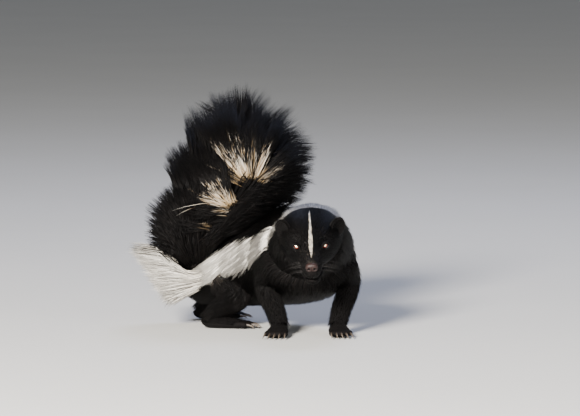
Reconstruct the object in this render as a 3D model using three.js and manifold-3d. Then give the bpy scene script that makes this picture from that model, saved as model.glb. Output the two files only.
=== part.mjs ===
// A life-size striped skunk in its threat stance, as a museum model: head low and facing the viewer,
// trunk bent to its right, rump low, tail raised over the back with its hair spread.
// Millimetres, +Z up. The animal looks along -Y. Left and right are the animal's own.
import * as THREE from "three";
import { mergeVertices } from "three/addons/utils/BufferGeometryUtils.js";
import Module from "manifold-3d";

const wasm = await Module();
wasm.setup();

const rad = THREE.MathUtils.degToRad;
const mix = THREE.MathUtils.lerp;
const clamp = THREE.MathUtils.clamp;
const V = (x, y, z) => new THREE.Vector3(x, y, z);
const UP = V(0, 0, 1);
const TURN = 2 * Math.PI;

// Driving dimensions
const GAP = 0.3; // left between pieces that touch
const SLIVER = 0.02; // edges shorter than this are closed up
const EYES_MIDDLE = V(82, -90, 117); // midway between the eyes
const EYE_SPACING = 34.6;
const EYE_RADIUS = 4.7;
const LID_THICKNESS = 1.3;
const HEAD_PITCH = rad(25); // nose down
const HEAD_ROLL = rad(2.5); // its left eye the higher
const EAR_SIZE = V(10.5, 5.5, 12); // half of its width, thickness and height
const EAR_WALL = 2.4; // thickness of the rim of its cup
const EAR_TURN = rad(32); // turned outwards from straight ahead
const LIP_RADIUS = 1.5;
const COAT_LOCK = { length: 74, width: 46, thickness: 6 }; // on the back and flanks
const NECK_LOCK = { length: 42, width: 30, thickness: 5 };
const LEG_LOCK = { length: 30, width: 24, thickness: 4.5 };
const RUMP_LOCK = { width: 29, thickness: 5.5 };
const TAIL_LOCK = { width: 48, thickness: 6 };
const TRUNK_COAT = 9; // from the trunk's core out to the tips of its coat
const NECK_COAT = 6;
const LEG_COAT = 3;
const TRUNK_PEAR = 0.1; // how much wider the trunk is below its middle than above it
const TRUNK_DIVISION = 0.5; // share of the spine where the trunk is divided into front and rear
const CHEST_DOME = 0.11; // shares of the spine over which the trunk's two ends round off
const SEAT_DOME = 0.1;
const TAIL_DIVISIONS = [0.34, 0.67]; // where the tail is divided into its three lengths
const TAIL_CORE = { root: 17, swell: 22, tip: 12 }; // radius of the bone with the dense down round it
const TOES = 5;

// Materials
const blackFur = new THREE.MeshStandardMaterial({ color: 0x0c0b0b, roughness: 0.75 });
const whiteFur = new THREE.MeshStandardMaterial({ color: 0xe6dfd2, roughness: 0.8 });
const noseSkin = new THREE.MeshStandardMaterial({ color: 0x5a3a36, roughness: 0.45 });
const eyeGloss = new THREE.MeshStandardMaterial({ color: 0x050404, roughness: 0.08 });
const pawSkin = new THREE.MeshStandardMaterial({ color: 0x1a1615, roughness: 0.7 });

// A repeatable draw from -1 to 1.
function seededDraw(seed) {
  let state = seed;
  return () => {
    state = (state * 1664525 + 1013904223) % 4294967296;
    return (state / 4294967296) * 2 - 1;
  };
}

// Solids

function signedVolume(xyz, triangles) {
  const [a, b, c] = [V(0, 0, 0), V(0, 0, 0), V(0, 0, 0)];
  let sum = 0;
  for (let i = 0; i < triangles.length; i += 3) {
    a.fromArray(xyz, triangles[i] * 3);
    b.fromArray(xyz, triangles[i + 1] * 3);
    c.fromArray(xyz, triangles[i + 2] * 3);
    sum += a.dot(b.cross(c));
  }
  return sum / 6;
}

// A closed geometry as a solid, turned right side out where it is inside out.
function solidOf(geometry) {
  geometry.deleteAttribute("normal");
  geometry.deleteAttribute("uv");
  const merged = mergeVertices(geometry, 1e-4);
  const triVerts = new Uint32Array(merged.index.array);
  const vertProperties = merged.attributes.position.array;
  if (signedVolume(vertProperties, triVerts) < 0) triVerts.reverse();
  return new wasm.Manifold(new wasm.Mesh({ numProp: 3, vertProperties, triVerts }));
}

const join = (solids) => wasm.Manifold.union(solids);

// The largest closed surface: a hollow sealed by fusing is filled and a loose scrap dropped.
function largest(solid) {
  const parts = solid.simplify(SLIVER).decompose();
  return parts.reduce((a, b) => (b.volume() > a.volume() ? b : a));
}

function meshOf(name, solid, material) {
  const { numProp, numVert, vertProperties, triVerts } = largest(solid).getMesh();
  const xyz = new Float32Array(numVert * 3);
  for (let i = 0; i < numVert; i++)
    xyz.set(vertProperties.subarray(i * numProp, i * numProp + 3), i * 3);
  const geometry = new THREE.BufferGeometry();
  geometry.setAttribute("position", new THREE.BufferAttribute(xyz, 3));
  geometry.setIndex(new THREE.BufferAttribute(triVerts, 1));
  geometry.computeVertexNormals();
  const mesh = new THREE.Mesh(geometry, material);
  mesh.name = name;
  return mesh;
}

// A closed skin over rings of points. Each end closes to its ring's middle, or to the tip given.
function loft(rings, tip) {
  const count = rings[0].length;
  const middle = (ring) =>
    ring.reduce((sum, p) => sum.add(p), V(0, 0, 0)).divideScalar(ring.length);
  const points = [...rings.flat(), middle(rings[0]), tip ?? middle(rings.at(-1))];
  const startTip = points.length - 2;
  const endTip = points.length - 1;
  const last = (rings.length - 1) * count;
  const index = [];
  for (let k = 0; k < count; k++) {
    const next = (k + 1) % count;
    for (let r = 0; r < last; r += count)
      index.push(r + k, r + next, r + next + count, r + k, r + next + count, r + k + count);
    index.push(next, k, startTip, last + k, last + next, endTip);
  }
  const geometry = new THREE.BufferGeometry();
  const xyz = new Float32Array(points.flatMap((p) => p.toArray()));
  geometry.setAttribute("position", new THREE.BufferAttribute(xyz, 3));
  geometry.setIndex(index);
  return solidOf(geometry);
}

// An ellipsoid whose half sizes lie along three given directions.
function ellipsoid(centre, radii, basis, sides) {
  const ball = new THREE.SphereGeometry(1, sides, Math.round(sides * 0.6));
  ball.applyMatrix4(
    new THREE.Matrix4()
      .makeBasis(...basis)
      .setPosition(centre)
      .multiply(new THREE.Matrix4().makeScale(radii.x, radii.y, radii.z)),
  );
  return solidOf(ball);
}

// An oval of points round a centre, from its half width, top and bottom.
function oval(centre, across, up, half, above, below, sides) {
  const ring = [];
  for (let k = 0; k < sides; k++) {
    const angle = (k / sides) * TURN;
    const side = centre.clone().addScaledVector(across, Math.sin(angle) * half);
    ring.push(side.addScaledVector(up, Math.cos(angle) * (Math.cos(angle) > 0 ? above : below)));
  }
  return ring;
}

// A thin round bar along a path, thinner towards both ends.
function bar(path, radius, sides, steps) {
  const rings = [];
  for (let i = 0; i <= steps; i++) {
    const along = path.getTangent(i / steps);
    const across = along.clone().cross(UP).normalize();
    const facing = along.clone().cross(across);
    const size = radius * Math.sin(Math.PI * mix(0.12, 0.88, i / steps)) ** 0.5;
    rings.push(oval(path.getPoint(i / steps), across, facing, size, size, size, sides));
  }
  return loft(rings);
}

// A flat tapered lock along a path, ridged along its outer face, its width along a given direction. A
// grown lock has each of its faces moved outwards.
function lock(path, across, { width, thickness }, grow, steps) {
  const rings = steps.map((u) => {
    const place = path.getPoint(u);
    const side = across.clone().projectOnPlane(path.getTangent(u)).normalize();
    const face = side.clone().cross(path.getTangent(u));
    const wide = (width / 2) * (0.5 + 0.5 * Math.sin(Math.PI * Math.min(1, 0.1 + u)));
    const [above, below] = [0.5, 0.25].map((share) => thickness * share * (1 - 0.6 * u));
    const slope = Math.atan2(above + below, wide);
    const edge = wide + grow / Math.tan(slope / 2);
    return [
      place.clone().addScaledVector(side, edge).addScaledVector(face, -below - grow),
      place.clone().addScaledVector(face, above + grow / Math.cos(slope)),
      place.clone().addScaledVector(side, -edge).addScaledVector(face, -below - grow),
    ];
  });
  const tip = path.getPoint(1);
  const point = tip.clone().sub(path.getPoint(steps.at(-1))).normalize();
  return loft(rings, tip.addScaledVector(point, grow * 3));
}

// Shares of a lock's length at which it has a cross-section; it comes to a point at 1.
const FLAT_STEPS = [0.05, 0.6];
const ARCHED_STEPS = [0.05, 0.42, 0.76];

// Head, in its own directions: side to its left, forward along the muzzle, crown upwards

const HEAD_TURN = new THREE.Quaternion()
  .setFromAxisAngle(V(0, 1, 0), -HEAD_ROLL)
  .multiply(new THREE.Quaternion().setFromAxisAngle(V(1, 0, 0), HEAD_PITCH));
const HEAD_SIDE = V(1, 0, 0).applyQuaternion(HEAD_TURN);
const HEAD_FORWARD = V(0, -1, 0).applyQuaternion(HEAD_TURN);
const HEAD_CROWN = V(0, 0, 1).applyQuaternion(HEAD_TURN);
const HEAD_BACK = HEAD_FORWARD.clone().negate();
const HEAD_BASIS = [HEAD_SIDE, HEAD_BACK, HEAD_CROWN];

function onHead(side, forward, crown) {
  return EYES_MIDDLE.clone()
    .addScaledVector(HEAD_SIDE, side)
    .addScaledVector(HEAD_FORWARD, forward)
    .addScaledVector(HEAD_CROWN, crown);
}

// Outside the fur: how far before the eyes, half width, and the top and bottom against the eyes.
const SKULL_STATIONS = [
  { forward: 34, half: 6.5, top: -6, bottom: -22 },
  { forward: 31, half: 10, top: -2, bottom: -26.5 },
  { forward: 22, half: 13, top: 1.5, bottom: -28 },
  { forward: 12, half: 15.5, top: 5.5, bottom: -28.5 },
  { forward: 2, half: 20.5, top: 11, bottom: -30 },
  { forward: -9, half: 28, top: 19, bottom: -35 },
  { forward: -21, half: 35, top: 26, bottom: -39 },
  { forward: -34, half: 39.5, top: 30.5, bottom: -41 },
  { forward: -47, half: 40, top: 29.5, bottom: -40 },
  { forward: -58, half: 34, top: 22, bottom: -32 },
];
const JAW_STATIONS = [
  { forward: 27.5, half: 4.5, top: -30.5, bottom: -36 },
  { forward: 24, half: 8, top: -29, bottom: -39.5 },
  { forward: 14, half: 11, top: -27, bottom: -40.5 },
  { forward: 2, half: 15, top: -26, bottom: -41 },
  { forward: -10, half: 19, top: -26, bottom: -41 },
  { forward: -18, half: 18, top: -28, bottom: -39 },
];
const SKULL_SIDES = 14;
const JAW_SIDES = 10;

function headForm(stations, grow, sides) {
  const rings = stations.map(({ forward, half, top, bottom }) => {
    const widest = mix(bottom, top, 0.45);
    const place = onHead(0, forward, widest);
    const [above, below] = [top - widest + grow, widest - bottom + grow];
    return oval(place, HEAD_SIDE, HEAD_CROWN, half + grow, above, below, sides);
  });
  return loft(rings);
}

// The upper lip's edge: from beside the nose back to the corner of the mouth.
function lip(side) {
  const line = [
    onHead(side * 2, 31.5, -25.5),
    onHead(side * 8.5, 26, -27),
    onHead(side * 11.5, 15, -27.5),
    onHead(side * 14.5, 3, -26),
    onHead(side * 17.5, -6, -24),
  ];
  return bar(new THREE.CatmullRomCurve3(line), LIP_RADIUS, 4, 5);
}

// The lids: a ring round the eye, wider than it is high, lying back on the side of the face.
function lids(side) {
  const ring = new THREE.TorusGeometry(EYE_RADIUS - 0.2, LID_THICKNESS, 4, 10);
  const slant = new THREE.Quaternion().setFromAxisAngle(V(0, 1, 0), side * rad(32));
  ring.scale(1.12, 0.92, 1);
  ring.applyQuaternion(slant);
  ring.applyMatrix4(
    new THREE.Matrix4()
      .makeBasis(HEAD_SIDE, HEAD_CROWN, HEAD_FORWARD)
      .setPosition(onHead((side * EYE_SPACING) / 2 + side * 0.6, 1, 1.5)),
  );
  return solidOf(ring);
}

function head(grow) {
  const skull = headForm(SKULL_STATIONS, grow, SKULL_SIDES);
  if (grow > 0) return skull;
  return join([skull, lip(1), lip(-1), lids(1), lids(-1)]);
}

const jaw = (grow) => headForm(JAW_STATIONS, grow, JAW_SIDES);

// The nose pad, with a nostril on each side that runs out to its edge as a slit.
function nose(grow) {
  const size = V(8.4 + grow, 5 + grow, 6.4 + grow);
  const pad = ellipsoid(onHead(0, 32.8, -9.8), size, HEAD_BASIS, 10);
  if (grow > 0) return pad;
  const nostrils = [1, -1].flatMap((side) => [
    ellipsoid(onHead(side * 3.6, 37.2, -10.4), V(1.7, 2.6, 2), HEAD_BASIS, 6),
    ellipsoid(onHead(side * 6.3, 34.6, -12), V(2.4, 2.4, 0.8), HEAD_BASIS, 6),
  ]);
  return pad.subtract(join(nostrils));
}

function eye(side, grow) {
  const size = EYE_RADIUS + grow;
  const place = onHead((side * EYE_SPACING) / 2, -1.5, 1.5);
  return ellipsoid(place, V(size, size, size), HEAD_BASIS, 10);
}

// A round ear, turned outwards, its cup hollowed from the front.
function ear(side, grow) {
  const outward = new THREE.Quaternion().setFromAxisAngle(HEAD_CROWN, side * EAR_TURN);
  const across = HEAD_SIDE.clone().applyQuaternion(outward);
  const backward = HEAD_BACK.clone().applyQuaternion(outward);
  const basis = [across, backward, HEAD_CROWN];
  const place = onHead(side * 34.5, -27, 11);
  const shell = ellipsoid(place, EAR_SIZE.clone().addScalar(grow), basis, 10);
  if (grow > 0) return shell;
  const hollow = EAR_SIZE.clone().addScalar(-EAR_WALL);
  const opening = place.clone().addScaledVector(backward, -EAR_WALL * 1.4).addScaledVector(UP, 0.6);
  return shell.subtract(ellipsoid(opening, hollow.setY(EAR_SIZE.y), basis, 8));
}

// Neck and trunk: upright ovals along a line that runs back from the head

// Outside the coat: where each station is, how high its top and bottom are, and its half width.
const NECK_STATIONS = [
  { x: 83, y: -62, top: 156, bottom: 84, half: 38 },
  { x: 83, y: -46, top: 165, bottom: 78, half: 44 },
  { x: 83, y: -28, top: 166, bottom: 70, half: 49 },
  { x: 82, y: -8, top: 163, bottom: 62, half: 55 },
  { x: 80, y: 12, top: 156, bottom: 60, half: 57 },
];
const TRUNK_STATIONS = [
  { x: 81, y: -38, top: 128, bottom: 60, half: 42 },
  { x: 80, y: -8, top: 152, bottom: 44, half: 61 },
  { x: 76, y: 22, top: 157, bottom: 36, half: 67 },
  { x: 63, y: 58, top: 155, bottom: 30, half: 66 },
  { x: 38, y: 90, top: 147, bottom: 26, half: 64 },
  { x: 3, y: 108, top: 130, bottom: 24, half: 61 },
  { x: -33, y: 112, top: 107, bottom: 24, half: 55 },
  { x: -62, y: 107, top: 83, bottom: 28, half: 43 },
  { x: -84, y: 102, top: 68, bottom: 38, half: 27 },
];
const curveOf = (points) => new THREE.CatmullRomCurve3(points);
const middleLine = (stations) => curveOf(stations.map((s) => V(s.x, s.y, (s.top + s.bottom) / 2)));
const halfSizes = (stations) => curveOf(stations.map((s) => V(s.half, (s.top - s.bottom) / 2, 0)));

// How far the trunk is narrowed towards its rounded ends.
function dome(t) {
  const end = Math.max(1 - t / CHEST_DOME, 1 - (1 - t) / SEAT_DOME, 0);
  return Math.sqrt(Math.max(0.06, 1 - end ** 2));
}

const BEND_SPAN = 0.05; // share of the line to each side over which its bend is measured

// A surface: the point at a share t of the line and an angle from its top towards the animal's right,
// standing a given way outside the tips of the coat. Past its end the line runs straight on. Inside a
// bend it is squeezed so that it doesn't fold over itself.
function surfaceOf(stations, narrowed) {
  const line = middleLine(stations);
  const sizes = halfSizes(stations);
  const headingAt = (t) => line.getTangent(clamp(t, 0, 1)).setZ(0).normalize();
  // How tightly the line turns to the animal's right, per millimetre.
  const turning = (t) => {
    const [before, after] = [headingAt(t - BEND_SPAN), headingAt(t + BEND_SPAN)];
    const sine = before.x * after.y - before.y * after.x;
    return Math.max(0, sine) / (2 * BEND_SPAN * line.getLength());
  };
  const at = (t, angle, out) => {
    const inside = clamp(t, 0, 1);
    const heading = headingAt(inside);
    const middle = line.getPoint(inside).addScaledVector(heading, (t - inside) * line.getLength());
    const size = sizes.getPoint(inside).multiplyScalar(narrowed(inside));
    const wide = (size.x + out) * Math.sin(angle) * (1 - TRUNK_PEAR * Math.cos(angle));
    const squeeze = (1 + (Math.max(0, wide) * turning(inside)) ** 4) ** 0.25;
    return middle
      .addScaledVector(V(-heading.y, heading.x, 0), wide / squeeze)
      .addScaledVector(UP, (size.y + out) * Math.cos(angle));
  };
  return { at, line, sizes, length: line.getLength() };
}

const neckSurface = surfaceOf(NECK_STATIONS, () => 1);
const trunkSurface = surfaceOf(TRUNK_STATIONS, dome);

function coreOf(surface, out, ringCount, sides) {
  const rings = [];
  for (let r = 0; r <= ringCount; r++) {
    const ring = [];
    for (let k = 0; k < sides; k++) ring.push(surface.at(r / ringCount, (k / sides) * TURN, out));
    rings.push(ring);
  }
  return loft(rings);
}

const LOCK_SAG = 0.42; // how far a lock drifts down the flank, as an angle

// A lock that rises out of the core and lies back along a surface, down the flank as it goes.
function coatLock(surface, t, angle, size, coat, lift, grow) {
  const reach = size.length / surface.length;
  const drift = LOCK_SAG * Math.sin(angle);
  const at = (u, out) =>
    surface.at(t + reach * u, angle + drift * u, out + mix(-coat - 5, lift, u ** 0.6));
  const path = curveOf([0, 0.34, 0.67, 1].map((u) => at(u, 0)));
  const across = path.getTangent(0.5).cross(at(0.5, 1).sub(at(0.5, 0)));
  return lock(path, across, size, grow, FLAT_STEPS);
}

// Rows of locks round a surface, each row set between those of the row before.
function coatRows(surface, rows, perRow, size, coat, grow, seed) {
  const draw = seededDraw(seed);
  return rows.flatMap((t, row) => {
    const locks = [];
    for (let k = 0; k < perRow; k++) {
      const angle = ((k + (row % 2) / 2 + draw() * 0.18) / perRow) * TURN - Math.PI;
      const stretch = 1 + draw() * 0.14;
      const shape = { ...size, length: size.length * stretch };
      locks.push(coatLock(surface, t + draw() * 0.012, angle, shape, coat, 1 + draw(), grow));
    }
    return locks;
  });
}

const NECK_ROWS = [0.16, 0.56];
const TRUNK_RINGS = 14;
const TRUNK_SIDES = 16;
const FRONT_ROWS = [0.06, 0.26];
const REAR_ROWS = [0.48, 0.68];
const LOCKS_PER_ROW = 8;

function neck(grow) {
  const core = coreOf(neckSurface, grow - NECK_COAT, 4, 14);
  const locks = coatRows(neckSurface, NECK_ROWS, LOCKS_PER_ROW, NECK_LOCK, NECK_COAT, grow, 11);
  return join([core, ...locks]);
}

// The trunk's core before or behind its division.
function trunkCore(before, grow) {
  const place = trunkSurface.line.getPoint(TRUNK_DIVISION);
  const heading = trunkSurface.line.getTangent(TRUNK_DIVISION).setZ(0).normalize();
  const kept = before ? heading.negate() : heading;
  const whole = coreOf(trunkSurface, grow - TRUNK_COAT, TRUNK_RINGS, TRUNK_SIDES);
  return whole.trimByPlane(kept.toArray(), kept.dot(place) - grow);
}

function torsoFront(grow) {
  const locks = coatRows(trunkSurface, FRONT_ROWS, LOCKS_PER_ROW, COAT_LOCK, TRUNK_COAT, grow, 23);
  return join([trunkCore(true, grow), ...locks]);
}

// The fan of long hair on each side of the rump, from beside the tail's root down to the thigh.
const FAN_TOP = V(-150, 24, 100); // tip of its highest lock: along X, out to the side, above the floor
const FAN_BOTTOM = V(-103, 34, 25);
const FAN_LOCKS = 6;

function rumpFan(side, grow, seed) {
  const draw = seededDraw(seed);
  const seat = TRUNK_STATIONS.at(-1);
  const locks = [];
  for (let i = 0; i < FAN_LOCKS; i++) {
    const share = i / (FAN_LOCKS - 1);
    const angle = side * mix(rad(28), rad(125), share);
    const root = trunkSurface.at(0.86, angle, -TRUNK_COAT - 7);
    const tip = FAN_TOP.clone().lerp(FAN_BOTTOM, share ** 0.8);
    tip.set(tip.x + draw() * 5, seat.y - side * tip.y, tip.z + draw() * 3);
    const middle = root.clone().lerp(tip, 0.5).add(V(-2, -side * 9, 7));
    const path = new THREE.QuadraticBezierCurve3(root, middle, tip);
    const across = path.getTangent(0.5).cross(V(-0.25, -side, 0));
    locks.push(lock(path, across, RUMP_LOCK, grow, FLAT_STEPS));
  }
  return locks;
}

// The dark hair between the two fans, below the tail's root.
function rumpMiddle(grow) {
  const seat = TRUNK_STATIONS.at(-1);
  return [58, 36].map((height, i) => {
    const root = V(seat.x + 16, seat.y, mix(height, seat.top - 12, 0.5));
    const tip = V(-128 + i * 9, seat.y + (i - 1) * 3, height - 4);
    const middle = root.clone().lerp(tip, 0.5).setZ(height + 5);
    const path = new THREE.QuadraticBezierCurve3(root, middle, tip);
    return lock(path, V(0, 1, 0), RUMP_LOCK, grow, FLAT_STEPS);
  });
}

function torsoRear(grow) {
  const locks = coatRows(trunkSurface, REAR_ROWS, LOCKS_PER_ROW, COAT_LOCK, TRUNK_COAT, grow, 37);
  const fans = [...rumpFan(1, grow, 51), ...rumpFan(-1, grow, 57), ...rumpMiddle(grow)];
  return join([trunkCore(false, grow), ...locks, ...fans]);
}

// Tail: a bone that rises from the rump and leans forward over the back, its hair spread all round

const TAIL_BONE = curveOf([
  V(-64, 106, 74),
  V(-70, 106, 102),
  V(-58, 106, 130),
  V(-35, 105, 152),
  V(-12, 103, 174),
  V(4, 100, 196),
  V(12, 96, 220),
]);
// The tips of the hair lie on two rounded forms: the spread plume and the lower lobe behind the rump.
const PLUME_FORMS = [
  { centre: V(-3, 101, 199), radii: V(97, 80, 106), tips: 44 },
  { centre: V(-72, 106, 138), radii: V(56, 58, 54), tips: 18 },
];
const TAIL_FLARE = rad(62); // between the bone and a line from a lock's root to its tip
const TAIL_ARCH = 0.2; // how far a lock first rises along the bone, as a share of its length
const TAIL_TWIST = rad(56); // of a lock's face, so that each lies over the next
const GOLDEN_ANGLE = rad(137.508);
const BACK_CLEARANCE = 9;

// The height of the coat of the back under or over a point, or of the floor where the point is beside it.
function backHeight(point) {
  let best = { away: Infinity, top: 0 };
  for (let t = 0; t <= 1; t += 0.025) {
    const middle = trunkSurface.line.getPoint(t);
    const size = trunkSurface.sizes.getPoint(t);
    const away = Math.hypot(point.x - middle.x, point.y - middle.y);
    const share = 1 - (away / size.x) ** 2;
    if (away < best.away)
      best = { away, top: share > 0 ? middle.z + size.y * Math.sqrt(share) : 0 };
  }
  return best.top;
}

function tailRadius(t) {
  const { root, swell, tip } = TAIL_CORE;
  return mix(root, tip, t) + swell * Math.sin(Math.PI * Math.min(1, t + 0.08));
}

function tailCore(from, to, grow) {
  const slack = grow / TAIL_BONE.getLength();
  const rings = [];
  const steps = 5;
  for (let i = 0; i <= steps; i++) {
    const t = clamp(mix(from - slack, to + slack, i / steps), 0, 1);
    const along = TAIL_BONE.getTangent(t);
    const facing = V(0, 1, 0).cross(along).normalize();
    const across = along.clone().cross(facing);
    const radius = tailRadius(t) + grow;
    rings.push(oval(TAIL_BONE.getPoint(t), across, facing, radius, radius, radius, 12));
  }
  return loft(rings);
}

// Points spread evenly over the plume's forms, where no other form and no back covers them.
function plumeTips() {
  const draw = seededDraw(71);
  const covers = (form, point) => point.clone().sub(form.centre).divide(form.radii).length() < 0.97;
  return PLUME_FORMS.flatMap((form) => {
    const points = [];
    for (let i = 0; i < form.tips; i++) {
      const height = 1 - (2 * i + 1) / form.tips;
      const azimuth = i * GOLDEN_ANGLE + draw() * 0.2;
      const round = Math.sqrt(1 - height ** 2);
      const direction = V(round * Math.cos(azimuth), round * Math.sin(azimuth), height);
      const point = direction.multiply(form.radii).multiplyScalar(1 + draw() * 0.05).add(form.centre);
      const hidden = PLUME_FORMS.some((other) => other !== form && covers(other, point));
      if (!hidden && point.z > backHeight(point) + BACK_CLEARANCE) points.push(point);
    }
    return points;
  });
}

// The share of the bone from which a lock reaches its tip at the flare's angle.
function tailRoot(tip) {
  let best = { off: Infinity, t: 0 };
  for (let t = 0.04; t <= 0.96; t += 0.01) {
    const towards = tip.clone().sub(TAIL_BONE.getPoint(t));
    const off = Math.abs(TAIL_BONE.getTangent(t).angleTo(towards) - TAIL_FLARE);
    if (off < best.off) best = { off, t };
  }
  return best.t;
}

function tailLock(t, tip, twist, grow) {
  const along = TAIL_BONE.getTangent(t);
  const bone = TAIL_BONE.getPoint(t);
  const radial = tip.clone().sub(bone).projectOnPlane(along).normalize();
  const root = bone.addScaledVector(radial, tailRadius(t) * 0.3);
  const reach = tip.distanceTo(root);
  const bend = root.clone().lerp(tip, 0.5).addScaledVector(along, reach * TAIL_ARCH);
  const path = new THREE.QuadraticBezierCurve3(root, bend, tip);
  const across = along.cross(radial).applyAxisAngle(path.getTangent(0.5), twist);
  return lock(path, across, TAIL_LOCK, grow, ARCHED_STEPS);
}

const TAIL_TIPS = plumeTips().map((tip) => ({ tip, t: tailRoot(tip) }));

function tailLength(index, grow) {
  const cuts = [0, ...TAIL_DIVISIONS, 1];
  const [from, to] = [cuts[index], cuts[index + 1]];
  const own = TAIL_TIPS.filter(({ t }) => t >= from && t < to);
  const locks = own.map(({ tip, t }) => tailLock(t, tip, TAIL_TWIST, grow));
  return join([tailCore(from, to, grow), ...locks]);
}

// Legs: from inside the trunk to the wrist or heel

const FORELEG_JOINTS = {
  left: [
    { place: V(124, 6, 92), wide: 17, deep: 25 },
    { place: V(131, 24, 60), wide: 15, deep: 21 },
    { place: V(121, 0, 32), wide: 13, deep: 14 },
    { place: V(116, -12, 14), wide: 12, deep: 12 },
  ],
  right: [
    { place: V(32, 6, 90), wide: 17, deep: 25 },
    { place: V(25, 21, 59), wide: 15, deep: 20 },
    { place: V(37, -6, 32), wide: 13, deep: 14 },
    { place: V(43, -20, 14), wide: 12, deep: 12 },
  ],
};
const HINDLEG_JOINTS = {
  left: [
    { place: V(-36, 145, 66), wide: 27, deep: 22 },
    { place: V(-18, 158, 43), wide: 22, deep: 18 },
    { place: V(-43, 163, 27), wide: 14, deep: 13 },
    { place: V(-58, 165, 13), wide: 11, deep: 11 },
  ],
  right: [
    { place: V(-30, 78, 64), wide: 28, deep: 22 },
    { place: V(-8, 66, 42), wide: 22, deep: 18 },
    { place: V(-32, 64, 26), wide: 14, deep: 13 },
    { place: V(-46, 64, 13), wide: 11, deep: 11 },
  ],
};
const LEG_SIDES = 8;
const LEG_LOCKS = [
  { length: 0, share: 0.45, azimuth: rad(20) },
  { length: 0, share: 0.55, azimuth: rad(150) },
  { length: 1, share: 0.05, azimuth: rad(240) },
];

function alongAndAcross(from, to) {
  const along = to.place.clone().sub(from.place).normalize();
  const across = V(1, 0, 0).addScaledVector(along, -along.x).normalize();
  return { along, across, facing: along.clone().cross(across) };
}

// A rounded length from one joint of a leg to the next, inside the coat.
function legLength(from, to, grow) {
  const { along, across, facing } = alongAndAcross(from, to);
  const ring = (joint, share, past) => {
    const wide = (joint.wide - LEG_COAT + grow) * share;
    const deep = (joint.deep - LEG_COAT + grow) * share;
    const place = joint.place.clone().addScaledVector(along, past * joint.deep);
    return oval(place, across, facing, wide, deep, deep, LEG_SIDES);
  };
  return loft([ring(from, 0.66, -0.7), ring(from, 1, 0), ring(to, 1, 0), ring(to, 0.66, 0.7)]);
}

function legLock(from, to, share, azimuth, grow) {
  const { along, across, facing } = alongAndAcross(from, to);
  const wide = mix(from.wide, to.wide, share);
  const deep = mix(from.deep, to.deep, share);
  const at = (u, out) =>
    from.place
      .clone()
      .lerp(to.place, share)
      .addScaledVector(along, LEG_LOCK.length * u)
      .addScaledVector(across, Math.sin(azimuth) * (wide + out))
      .addScaledVector(facing, Math.cos(azimuth) * (deep + out));
  const path = new THREE.QuadraticBezierCurve3(at(0, -LEG_COAT - 4), at(0.5, -0.5), at(1, 1));
  const sideways = path.getTangent(0.5).cross(at(0.5, 1).sub(at(0.5, 0)));
  return lock(path, sideways, LEG_LOCK, grow, FLAT_STEPS);
}

function leg(joints, grow, seed) {
  const draw = seededDraw(seed);
  const lengths = joints.slice(1).map((joint, i) => legLength(joints[i], joint, grow));
  const locks = LEG_LOCKS.map(({ length, share, azimuth }) =>
    legLock(joints[length], joints[length + 1], share, azimuth + draw() * 0.3, grow),
  );
  return join([...lengths, ...locks]);
}

// A paw on the floor: its wrist, the way it points, its length, and the length of its claws.
const FOREPAWS = {
  left: { wrist: V(116, -14, 0), heading: rad(-84), length: 40, claws: 16 },
  right: { wrist: V(43, -22, 0), heading: rad(-98), length: 40, claws: 16 },
};
const HINDPAWS = {
  left: { wrist: V(-60, 165, 0), heading: rad(4), length: 62, claws: 9 },
  right: { wrist: V(-48, 64, 0), heading: rad(-6), length: 62, claws: 9 },
};
const PAW_HALF = 14; // half of a paw's width at the toes
const PAW_HEIGHT = 18; // at the wrist
const CLAW_RADIUS = 1.9;
const TOE_RADIUS = 4.6;

function paw({ wrist, heading, length, claws }, grow) {
  const ahead = V(Math.cos(heading), Math.sin(heading), 0);
  const aside = V(-ahead.y, ahead.x, 0);
  const at = (forward, side, height) =>
    wrist
      .clone()
      .addScaledVector(ahead, forward)
      .addScaledVector(aside, side)
      .add(V(0, 0, height));
  const palm = V(PAW_HALF + grow, length * 0.52 + grow, PAW_HEIGHT * 0.55 + grow);
  const toe = (spread) => {
    const reach = length * (0.86 - 0.5 * spread ** 2);
    const side = spread * 2 * PAW_HALF;
    const ring = (forward, outward, height, radius) => {
      const size = radius + grow;
      return oval(at(reach + forward, side * outward, height), aside, UP, size, size, size, 5);
    };
    return loft(
      [
        ring(-5, 0.75, 4.8, TOE_RADIUS),
        ring(5.5, 0.86, 4.2, TOE_RADIUS * 0.8),
        ring(7, 0.88, 4.6, CLAW_RADIUS),
      ],
      at(reach + 7 + claws, side, 1.2),
    );
  };
  const toes = Array.from({ length: TOES }, (_, i) => toe(i / (TOES - 1) - 0.5));
  const sole = ellipsoid(at(length * 0.38, 0, 5), palm, [aside, ahead, UP], 8);
  return join([sole, ...toes]).trimByPlane([0, 0, 1], 0);
}

// The pieces, each cut clear of those before it that it meets

const SIDES = { left: 1, right: -1 };
const pieces = [];
const addPiece = (name, form, material, meets) => pieces.push({ name, form, material, meets });

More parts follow.
